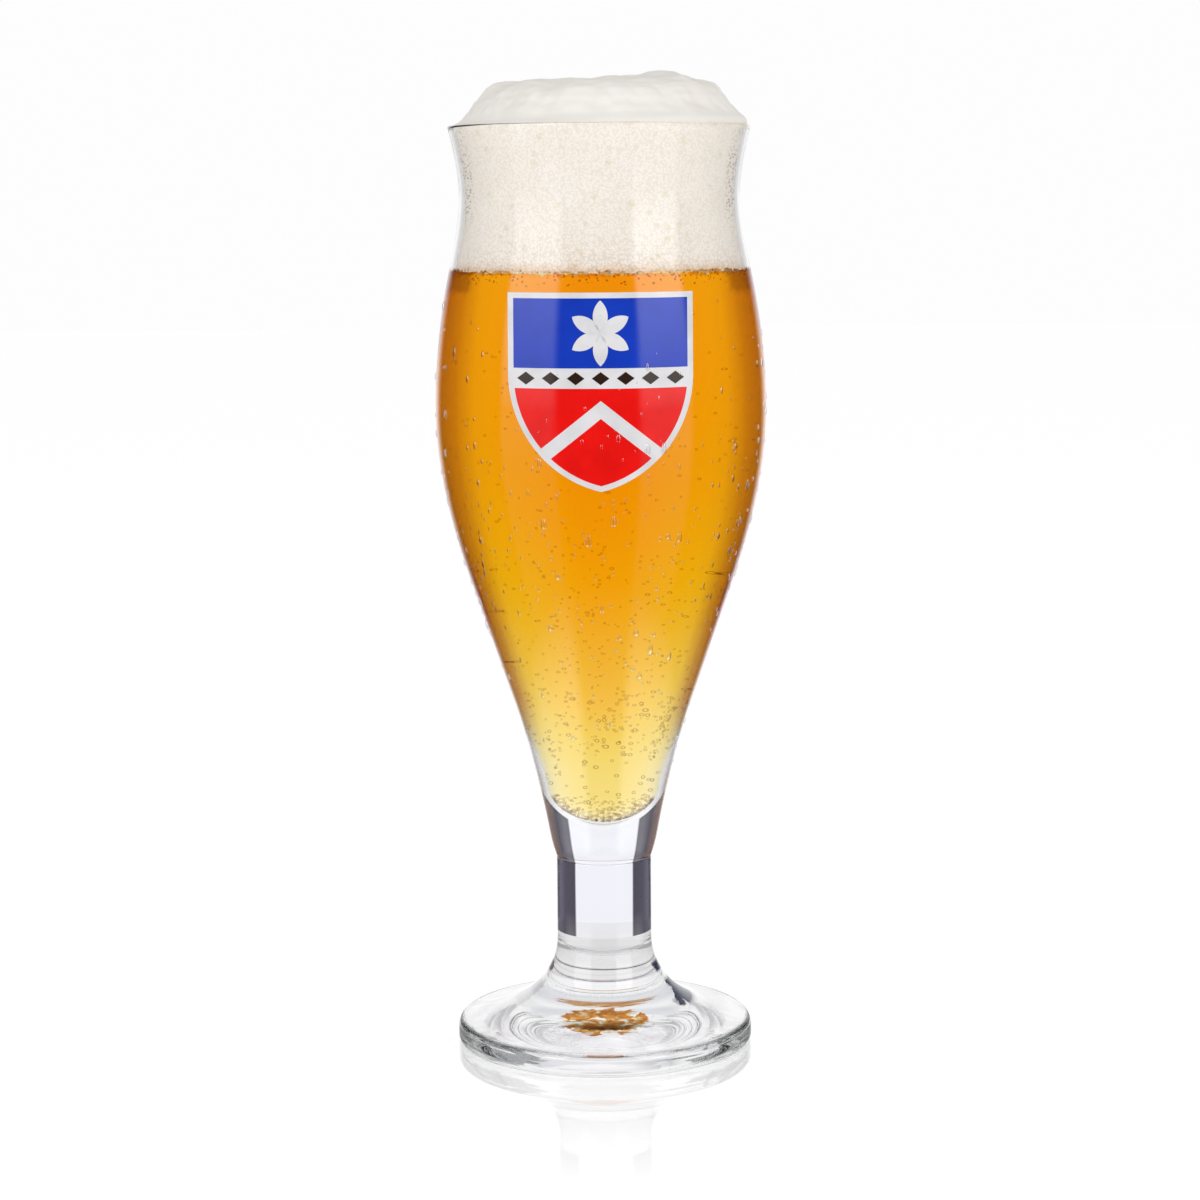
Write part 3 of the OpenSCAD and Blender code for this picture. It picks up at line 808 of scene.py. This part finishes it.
# Over the block: clear in the middle and dark beside it in painted shade, up to a round edge under the beer.
block = pale_inside(tree, ramp(tree, facing, BLOCK_SIDE_SHADE))
block_edge = calc(tree, "SUBTRACT", facing, BLOCK_BANDS)
block_edge = calc(tree, "MULTIPLY_ADD", block_edge, BLOCK_SLANT, BLOCK_TOP)
shade = tinted(tree, above(tree, height, block_edge, 1 / SOFT_EDGE), block, full)
shade = tinted(tree, above(tree, uneven, FOAM_FROM, 1 / SOFT_EDGE), shade, frothy)
give(shader, {"Base Color": shade})
bowl = make_turned("bowl_glass", bowl_outline, bowl_glass, ["bowl"], "clear_glass")
clear_welds(bowl, STEM_TOP)
bowl.data.materials.append(dry_glass)
bowl.data.materials.append(wet_glass)
middles = face_vectors(bowl.data, "center")
kinds = np.empty(len(middles), np.int32)
bowl.data.polygons.foreach_get("material_index", kinds)
halfway = inside_radius(middles[:, 2]) + INTO_WALL
over_bottom = middles[:, 2] > WELL_Z - WELL_R - UNDER_WELL
within = (kinds == 0) & (np.hypot(middles[:, 0], middles[:, 1]) < halfway) & over_bottom
kinds[within] = np.where(middles[within, 2] > BEER_Z, DRY_FACES, WET_FACES)
bowl.data.polygons.foreach_set("material_index", kinds)

# The enamel is printed on the finished bowl in layers and fired: a white shield first, then the blue and
# the red field, and last the white and the brown figures on them.
SHIELD_W = 0.046
SHIELD_SIDE = 0.020
SHIELD_R = 0.030
SHIELD_Z = 0.1805
BORDER = 0.0014
BAND_LOW = -0.0035
BAND_H = 0.005
ROSETTE_GAP = 0.0005
PETALS = 6
PETAL_BOW = 0.66
LOZENGES = 7
LOZENGE_GAP = 0.0018
LOZENGE_EDGE = 0.0009
CHEVRON_W = 0.0044
CHEVRON_DROP = 0.003
CHEVRON_RISE = 0.8
INK = 0.00004
INK_SINK = 0.00003
INK_GRAIN = (2600.0, 1.0)
INK_GRAIN_DEPTH = 0.000008
INK_CLOUD = (160.0, 3.0)
INK_THIN = (0.3, 0.7, 0.0, 1.0)
INK_DEEP = 0.86
INK_UNEVEN_GLOSS = 0.06
WHITE_INK = (0.78, 0.77, 0.79)
BLUE_INK = (0.008, 0.045, 0.50)
RED_INK = (0.88, 0.008, 0.006)
BROWN_INK = (0.030, 0.014, 0.008)


def shield_half(z, inset):
    """Half width of the shield: straight sides over two arcs that meet in a point."""
    low = np.minimum(z, 0)
    r = SHIELD_R - inset
    return np.maximum(SHIELD_W / 2 - SHIELD_R + np.sqrt(np.maximum(r**2 - low**2, 0)), 0)


def printed(flat, layer):
    """Layer of ink on the front of the bowl: flat is a grid of (across, up), pressed on along Y."""
    x, z = flat[..., 0], flat[..., 1] + SHIELD_Z
    sides = []
    for lift in (INK * layer, INK * (layer - 1) - INK_SINK):
        y = -np.sqrt((bowl_radius(z) + lift) ** 2 - x**2)
        sides.append(np.stack([x, y, z], axis=-1))
    rows, columns = x.shape
    faces = grid_faces(rows, columns, False)
    under = faces[:, ::-1] + rows * columns
    index = np.arange(rows * columns).reshape(rows, columns)
    edge = np.concatenate([index[0, :], index[1:, -1], index[-1, -2::-1], index[-2:0:-1, 0]])
    after = np.roll(edge, -1)
    rim = np.stack([edge, edge + rows * columns, after + rows * columns, after], axis=1)
    points = np.concatenate([side.reshape(-1, 3) for side in sides])
    return points, np.concatenate([faces, under, rim])


def filled(inset, low, top, rows=40, columns=80):
    """Grid over the shield between two heights: every row reaches from side to side."""
    z = np.linspace(low, top, rows)[:, None]
    across = np.linspace(-1, 1, columns) * shield_half(z, inset)
    return np.stack([across, z + 0 * across], axis=-1)


def tip(inset):
    """Height of the shield's point, where its half width comes to nothing."""
    return -math.sqrt((SHIELD_R - inset) ** 2 - (SHIELD_R - SHIELD_W / 2) ** 2)


def petal(turn, length, middle):
    """Grid over one petal, where two circles overlap, turned about the middle of the rosette."""
    bow = length * PETAL_BOW
    along_it = np.linspace(0, 1, 24)[:, None] * length
    half = np.sqrt(bow**2 - (along_it - length / 2) ** 2) - math.sqrt(bow**2 - length**2 / 4)
    across = np.linspace(-1, 1, 9) * half
    along_it = along_it + 0 * across
    c, s = math.cos(turn), math.sin(turn)
    return np.stack([c * across - s * along_it, s * across + c * along_it + middle], axis=-1)


def lozenge(x, z, half_w, half_h):
    """Grid over a lozenge: its rows shrink evenly towards the upper and the lower point."""
    v = np.linspace(-1, 1, 7)[:, None]
    u = np.linspace(-1, 1, 7) * (1 - np.abs(v))
    return np.stack([x + u * half_w, z + v * half_h + 0 * u], axis=-1)


def chevron():
    """Grid over two bars that rise to a point, each row ending where it meets the shield's line."""
    peak = BAND_LOW - CHEVRON_DROP - np.linspace(1, 0, 9)[:, None] * CHEVRON_W
    end = np.full_like(peak, SHIELD_W / 3)
    for _ in range(60):
        end = 0.5 * (end + shield_half(peak - end * CHEVRON_RISE, BORDER))
    x = np.linspace(-1, 1, 61) * end
    return np.stack([x, peak - np.abs(x) * CHEVRON_RISE], axis=-1)


def join(parts):
    """One list of points and one of faces from several pairs of them."""
    points, faces, count = [], [], 0
    for some, their_faces in parts:
        points.append(some)
        faces.append(their_faces + count)
        count += len(some)
    return np.concatenate(points), np.concatenate(faces)


# Fired ink is a shade deeper where it lies thicker, and has a fine grain.
ink, ink_in, ink_out = new_group(
    "fired ink", {"Colour": "Color", "Deep": "Color", "Gloss": "Float"},
    {"Base Color": "Color", "Roughness": "Float", "Normal": "Vector"},
)
spot = here(ink)
cloud = noise(ink, spot, *INK_CLOUD)
thin = remap(ink, cloud, *INK_THIN)
give(ink_out, {
    "Base Color": tinted(ink, thin, ink_in["Deep"], ink_in["Colour"]),
    "Roughness": calc(ink, "MULTIPLY_ADD", cloud, INK_UNEVEN_GLOSS, ink_in["Gloss"]),
    "Normal": bumped(ink, noise(ink, spot, *INK_GRAIN), INK_GRAIN_DEPTH, 0.5),
})


def enamel(name, colour, gloss):
    """Fired enamel: a thick glossy ink in one colour."""
    made, tree, shader = new_surface(name)
    deep = tuple(INK_DEEP * c for c in colour)
    fired = use(tree, ink, {"Colour": (*colour, 1), "Deep": (*deep, 1), "Gloss": gloss})
    give(shader, {socket: fired[socket] for socket in ("Base Color", "Roughness", "Normal")})
    return made


band_top = BAND_LOW + BAND_H
band_middle = BAND_LOW + BAND_H / 2
field_top = SHIELD_SIDE - BORDER
rosette_z = (band_top + field_top) / 2
petal_length = (field_top - band_top) / 2 - ROSETTE_GAP
pitch = (SHIELD_W - 2 * BORDER) / LOZENGES
lozenge_size = ((pitch - LOZENGE_GAP) / 2, BAND_H / 2 - LOZENGE_EDGE)
white_ink = enamel("white enamel", WHITE_INK, 0.04)
white_parts = [printed(filled(0, tip(0), SHIELD_SIDE, 90), 1), printed(chevron(), 3)]
white_parts += [
    printed(petal(2 * math.pi * k / PETALS, petal_length, rosette_z), 3) for k in range(PETALS)
]
make_piece("print_white_enamel", *join(white_parts), white_ink, ["print_white"], "white_enamel")
blue_ink = enamel("blue enamel", BLUE_INK, 0.05)
blue_field = printed(filled(BORDER, band_top, field_top), 2)
make_piece("print_blue_enamel", *blue_field, blue_ink, ["print_blue"], "blue_enamel")
red_ink = enamel("red enamel", RED_INK, 0.05)
red_field = printed(filled(BORDER, tip(BORDER), BAND_LOW, 60), 2)
make_piece("print_red_enamel", *red_field, red_ink, ["print_red"], "red_enamel")
brown_ink = enamel("brown enamel", BROWN_INK, 0.08)
row = [
    printed(lozenge((i - (LOZENGES - 1) / 2) * pitch, band_middle, *lozenge_size), 2)
    for i in range(LOZENGES)
]
make_piece("print_brown_enamel", *join(row), brown_ink, ["print_brown"], "brown_enamel")

# The beer is clear golden wheat beer. It wets the glass all round, so its skin is sunk a hair into the wall,
# and its colour deepens with its depth.
WETTING = 0.00002
BEER_COLOUR = (0.986, 0.825, 0.0, 1)
BEER_DENSITY = 70.0


def grown(profile, by):
    """The profile moved outwards by a distance, square to itself."""
    run = np.gradient(profile, axis=0)
    run /= np.linalg.norm(run, axis=1, keepdims=True)
    moved = profile + by * np.stack([run[:, 1], -run[:, 0]], axis=1)
    moved[0, 0] = 0
    return moved


below = np.concatenate([inside[inside[:, 1] < BEER_Z], [(inside_radius(BEER_Z), BEER_Z)]])
beer_outline = grown(below, WETTING)
beer_outline[-1, 1] = BEER_Z
beer_outline = np.concatenate([beer_outline, [(0, BEER_Z)]])
beer_liquid, tree, shader = new_glass("wheat beer", 1.0)
depth = add(tree, "VolumeAbsorption", {"Color": BEER_COLOUR, "Density": BEER_DENSITY}).outputs[0]
give(tree.nodes["Material Output"], {"Volume": depth})
make_turned("beer_liquid", beer_outline, beer_liquid, ["beer"], "wheat_beer")

# The foam is a stiff head of fine bubbles. It fills the bowl over the beer, with a breath of air between it
# and the wall, and stands over the lip as a soft dome with a hump to the right.
FOAM_GAP = 0.00008
FOAM_LOW = BEER_Z - 0.0002
# The dome's outlines, as (distance from the axis, height over the lip).
DOME_LEFT = np.array([
    (0.0379, 0.0000), (0.0360, 0.0008), (0.0350, 0.0018), (0.0342, 0.0029), (0.0335, 0.0039),
    (0.0327, 0.0049), (0.0322, 0.0059), (0.0312, 0.0069), (0.0304, 0.0079), (0.0288, 0.0090),
    (0.0268, 0.0100), (0.0239, 0.0109), (0.0195, 0.0112), (0.0120, 0.0110), (0.0060, 0.0107),
    (0.0000, 0.0107),
])
DOME_RIGHT = np.array([
    (0.0382, 0.0002), (0.0381, 0.0010), (0.0377, 0.0018), (0.0361, 0.0029), (0.0351, 0.0039),
    (0.0340, 0.0049), (0.0333, 0.0059), (0.0328, 0.0069), (0.0320, 0.0079), (0.0312, 0.0090),
    (0.0297, 0.0100), (0.0271, 0.0110), (0.0230, 0.0118), (0.0150, 0.0120), (0.0070, 0.0112),
    (0.0000, 0.0107),
])
HUMP_X = 0.0155
HUMP_Y = -0.002
HUMP_H = 0.0014
HUMP_R = 0.0095
FOAM_COLUMNS = 480
DOME_ROWS = 90
DISC_ROWS = 14
SETTLED_ROWS = 12
MIDDLE_ROWS = 10
LUMP_FOCUS = 0.02
# Lumps of the dome and rags of the lower edge, each as (height, length, number of waves, seed).
LUMPS = ((0.00028, 0.011, 24, 3), (0.00009, 0.0035, 40, 4))
RAGS = ((0.00028, 0.0042, 30, 5), (0.00022, 0.0015, 60, 6))
FOAM_ROUGHNESS = 0.7
CELL_DEPTH = 0.00022
FINE_CELLS = (1650.0, 0.9)
COARSE_CELLS = (1450.0, 0.8)
SPOT_CELLS = 210.0
FOAM_CLOUD = (90.0, 3.0)
RAGGED_FOAM = {"Scale": 420.0, "Detail": 2.0, "Spread": 0.0030}
WET_Z = (BEER_Z, BEER_Z + 0.011, 1.0, 0.0)
LINE_Z = (BEER_Z, BEER_Z + 0.0024, 1.0, 0.0)
LINE_LOW = (FOAM_LOW, FOAM_LOW + 0.00005, 0.0, 1.0)
UNDER_LIP = (LIP_Z - 0.001, LIP_Z + 0.001, 1.0, 0.0)
CLOUD_TINT = [(0.3, (0.955, 0.915, 0.855)), (0.7, (0.975, 0.95, 0.905))]
SPOT_TINT = [(0.0, (0.90, 0.87, 0.78)), (0.12, (0.93, 0.91, 0.84)), (0.24, 1.0)]
CELL_TINT = [(0.0, 1.0), (0.38, (0.99, 0.985, 0.98)), (0.66, (0.80, 0.77, 0.74))]
DOME_TINT = (0.925, 0.925, 0.925)
WALLED_TINT = (1.0, 0.965, 0.93)
LINE_TINT = (0.88, 0.75, 0.64)


def resampled(points, count):
    """Points spaced evenly along a line through the given ones."""
    along_it = np.concatenate([[0], np.cumsum(np.linalg.norm(np.diff(points, axis=0), axis=1))])
    even = np.linspace(0, along_it[-1], count)
    return np.stack([np.interp(even, along_it, points[:, k]) for k in range(2)], axis=1)


def swell(points, size, count, seed):
    """Soft random height at each point: a sum of cosine waves of about one length, in random directions."""
    chance = np.random.default_rng(seed)
    way = chance.normal(size=(count, 3))
    way /= np.linalg.norm(way, axis=1, keepdims=True)
    way *= 2 * np.pi / (size * chance.uniform(0.7, 1.5, size=(count, 1)))
    phase = chance.uniform(0, 2 * np.pi, size=count)
    return np.cos(points @ way.T + phase).sum(axis=-1) * math.sqrt(2 / count)


turn = np.arange(FOAM_COLUMNS) * (2 * np.pi / FOAM_COLUMNS)
left, right = resampled(DOME_LEFT, DOME_ROWS), resampled(DOME_RIGHT, DOME_ROWS)
share = ((1 + np.cos(turn)) / 2)[None, :, None]
dome = right[:, None, :] * share + left[:, None, :] * (1 - share)
dome_grid = placed(dome[..., 0], turn, LIP_Z + dome[..., 1])
hump = np.exp(-(((dome_grid[..., 0] - HUMP_X) ** 2 + (dome_grid[..., 1] - HUMP_Y) ** 2) / HUMP_R**2))
dome_grid[..., 2] += HUMP_H * hump
settled = np.clip(np.arange(DOME_ROWS) / SETTLED_ROWS, 0, 1)[:, None]
off_middle = np.clip(np.arange(DOME_ROWS)[::-1] / MIDDLE_ROWS, 0, 1)[:, None]
lumps = sum(high * swell(dome_grid, *wave) for high, *wave in LUMPS) * settled
outward = dome_grid - np.array([0, 0, LIP_Z - LUMP_FOCUS])
outward /= np.linalg.norm(outward, axis=-1, keepdims=True)
dome_grid += outward * (lumps * off_middle)[..., None]
side = inside[(inside[:, 1] > FOAM_LOW) & (inside[:, 1] < LIP_LOW)]
side = np.concatenate([[(inside_radius(FOAM_LOW), FOAM_LOW)], side])
side[:, 0] -= FOAM_GAP
disc = np.linspace((0, FOAM_LOW), side[0], DISC_ROWS)[:-1]
foam_grid = np.concatenate([revolve(np.concatenate([disc, side]), FOAM_COLUMNS), dome_grid])
edge_row = foam_grid[len(disc)]
edge_row[:, 2] -= sum(deep * np.abs(swell(edge_row, *wave)) for deep, *wave in RAGS)

foam_skin, tree, shader = new_surface("beer foam")
spot = here(tree)
height = along(tree, spot, "Z")
fine = foamy(tree, spot, *FINE_CELLS)["Distance"]
coarse = foamy(tree, spot, *COARSE_CELLS)["Distance"]
uneven = use(tree, ragged, RAGGED_FOAM)["Height"]
wet = remap(tree, uneven, *WET_Z)
line = product(tree, remap(tree, uneven, *LINE_Z), remap(tree, height, *LINE_LOW))
under_lip = remap(tree, height, *UNDER_LIP)
cells = between(tree, wet, fine, coarse)
tint = ramp(tree, noise(tree, spot, *FOAM_CLOUD), CLOUD_TINT)
spots = ramp(tree, foamy(tree, spot, SPOT_CELLS)["Distance"], SPOT_TINT)
tint = tinted(tree, under_lip, tint, spots, "MULTIPLY")
tint = tinted(tree, 1.0, tint, tinted(tree, under_lip, DOME_TINT, WALLED_TINT), "MULTIPLY")
strength = product(tree, calc(tree, "MULTIPLY_ADD", wet, 0.5, 0.5), under_lip)
tint = tinted(tree, strength, tint, ramp(tree, cells, CELL_TINT), "MULTIPLY")
tint = tinted(tree, line, tint, LINE_TINT, "MULTIPLY")
pits = bumped(tree, cells, CELL_DEPTH, calc(tree, "MULTIPLY_ADD", strength, 0.5, 0.12), invert=True)
give(shader, {"Base Color": tint, "Roughness": FOAM_ROUGHNESS, "Normal": pits})
foam_faces = grid_faces(len(foam_grid), FOAM_COLUMNS, True)
make_piece("foam_head", foam_grid, foam_faces, foam_skin, ["foam"], "beer_foam")

# Bubbles of gas hang on the wall and rise through the beer, fine above, larger below, with a crowd of them
# on the round bottom. They are small hollow balls in the beer, darker towards their outline in painted shade.
BALL_ROWS = 6
BALL_COLUMNS = 8
GAS_RING = [
    (0.0, 1.0), (0.27, 1.0), (0.43, (0.14, 0.08, 0.02)), (0.9, (0.12, 0.07, 0.02)), (1.0, (0.3, 0.2, 0.1)),
]
FINE_RING = [(0.0, 1.0), (0.18, 1.0), (0.36, (0.46, 0.33, 0.21)), (0.9, (0.42, 0.31, 0.22)), (1.0, 0.7)]
FULL_TURN = (0.0, 2 * math.pi)
NEAR_RIGHT = (-0.68, -0.46)
NEAR_LEFT = (3.62, 3.84)
OFF_WALL = 1.05
AFLOAT_OFF_WALL = 1.3
AFLOAT_SHARE = 0.7
BOTTOM_BUBBLES = 620
BOTTOM_SIZES = (0.00018, 0.00034)
BOTTOM_OFF_WALL = 1.1
BOTTOM_CROWDING = (1.0, 0.75, 1.0)
BOTTOM_SPREAD = 0.30


def many(grids):
    """Points and faces of many small things: an array with a closed grid of points for each of them."""
    count, rows, columns, _ = grids.shape
    faces = grid_faces(rows, columns, True)
    every = faces + (np.arange(count) * rows * columns)[:, None, None]
    return grids.reshape(-1, 3), every.reshape(-1, 4)


def balls(middles, sizes):
    """Small closed balls at the given middles: latitude circles of a unit ball, scaled and moved."""
    lat = np.linspace(-np.pi / 2, np.pi / 2, BALL_ROWS + 1)[:, None]
    lon = np.arange(BALL_COLUMNS) * (2 * np.pi / BALL_COLUMNS)
    unit = placed(np.cos(lat), lon, np.sin(lat))
    return many(unit * sizes[:, None, None, None] + middles[:, None, None, :])


def crowd(count, low, high, smallest, largest, seed, bias=1.0, turns=FULL_TURN, afloat=False):
    """Middles and radii of bubbles at random heights, on the inside of the wall, or anywhere in the beer."""
    chance = np.random.default_rng(seed)
    z = low + (high - low) * chance.random(count) ** bias
    turn = chance.uniform(*turns, count)
    size = chance.uniform(smallest, largest, count)
    r = inside_radius(z) - size * (AFLOAT_OFF_WALL if afloat else OFF_WALL)
    if afloat:
        r *= np.sqrt(AFLOAT_SHARE * chance.random(count))
    return placed(r, turn, z), size


def on_bottom(count, seed):
    """Middles and radii of the small bubbles that crowd on the round bottom."""
    chance = np.random.default_rng(seed)
    way = chance.normal(size=(count, 3)) * BOTTOM_CROWDING
    way /= np.linalg.norm(way, axis=1, keepdims=True)
    way[:, 2] = -np.abs(way[:, 2])
    size = chance.uniform(*BOTTOM_SIZES, count)
    kept = way[:, 2] < -BOTTOM_SPREAD
    middles = way * (WELL_R - size * BOTTOM_OFF_WALL)[:, None] + (0, 0, WELL_Z)
    return middles[kept], size[kept]


def make_bubbles(name, crowds, gas_name, ior, ring):
    """One piece of many balls, clear in their middle and darker towards their outline in painted shade."""
    gas, tree, shader = new_glass(gas_name, ior)
    give(shader, {"Base Color": ramp(tree, turned_away(tree), ring)})
    middles, sizes = (np.concatenate(kind) for kind in zip(*crowds))
    make_piece(name, *balls(middles, sizes), gas, finish="clear_glass", sharp=180)


make_bubbles("beer_bubbles", [
    crowd(62, 0.065, 0.098, 0.00030, 0.00050, 12),
    crowd(26, 0.066, 0.098, 0.00028, 0.00048, 14, afloat=True),
], "gas bubble", 1.04, GAS_RING)
make_bubbles("fine_bubbles", [
    crowd(230, 0.080, 0.185, 0.00017, 0.00030, 11, 1.2),
    crowd(400, 0.080, 0.188, 0.00017, 0.00030, 13, 1.1, afloat=True),
    on_bottom(BOTTOM_BUBBLES, 15),
    crowd(64, 0.078, 0.092, 0.00018, 0.00030, 16, turns=NEAR_RIGHT),
    crowd(26, 0.074, 0.086, 0.0002, 0.00034, 17, turns=NEAR_LEFT),
    crowd(150, 0.092, 0.133, 0.00022, 0.00037, 18, 1.1),
], "fine gas", 1.03, FINE_RING)

# Dew stands on the cold outside of the bowl as small clear drops, drawn down a little by their weight.
# Most of it is on the lower belly. The drops at the back don't show through the beer. Towards their outline
# they are a little darker, in painted shade.
DROPS = 680
DROP_COLUMNS = 10
DROP_ROWS = 4
DEW_Z = (0.074, 0.140, 0.204)
DROP_W = (0.00022, 0.00045)
BIG_DROPS = 0.22
BIG_DROP = 1.8
DROP_SLIM = (1.1, 2.4)
DROP_PROUD = (0.4, 0.75)
DROP_TAPER = 0.35
DROP_SINK = 0.00002
DEW_IOR = 1.12
DEW_GLOSS_IOR = 2.6
DEW_EDGE_SHADE = [(0.0, 1.0), (0.45, 1.0), (0.8, 0.9)]


def drops(count, seed):
    """Low domes on the outside of the bowl: rings that shrink as they rise, wider below than above."""
    chance = np.random.default_rng(seed)
    z0 = chance.triangular(*DEW_Z, count)
    turn0 = chance.uniform(0, 2 * np.pi, count)
    half_w = chance.uniform(*DROP_W, count) * np.where(chance.random(count) < BIG_DROPS, BIG_DROP, 1.0)
    half_h = half_w * chance.uniform(*DROP_SLIM, count)
    proud = half_w * chance.uniform(*DROP_PROUD, count)
    ring = (np.arange(DROP_COLUMNS) * (2 * np.pi / DROP_COLUMNS))[None, None, :]
    rise = np.linspace(0, 1, DROP_ROWS + 1)[None, :, None]
    spread = np.sqrt(1 - rise**2)
    across = np.sin(ring) * (1 - DROP_TAPER * np.cos(ring)) * spread * half_w[:, None, None]
    up = np.cos(ring) * spread * half_h[:, None, None]
    lift = proud[:, None, None] * rise - DROP_SINK * (1 - rise)
    z = z0[:, None, None] + up
    r = bowl_radius(z) + lift
    turn = turn0[:, None, None] + across / r
    points = placed(r, turn, z)
    base = points[:, :1].mean(axis=2, keepdims=True)
    return many(np.concatenate([np.repeat(base, DROP_COLUMNS, axis=2), points], axis=1))


water, tree, shader = new_glass("dew", DEW_IOR)
seen_through = add(tree, "LightPath").outputs["Transmission Depth"]
give(shader, {
    "Base Color": ramp(tree, turned_away(tree), DEW_EDGE_SHADE), "Coat Weight": 1.0, "Coat IOR": DEW_GLOSS_IOR,
    "Alpha": calc(tree, "SUBTRACT", 1.0, seen_through, clamp=True),
})
make_piece("dew_drops", *drops(DROPS, 21), water, finish="clear_glass", sharp=180)
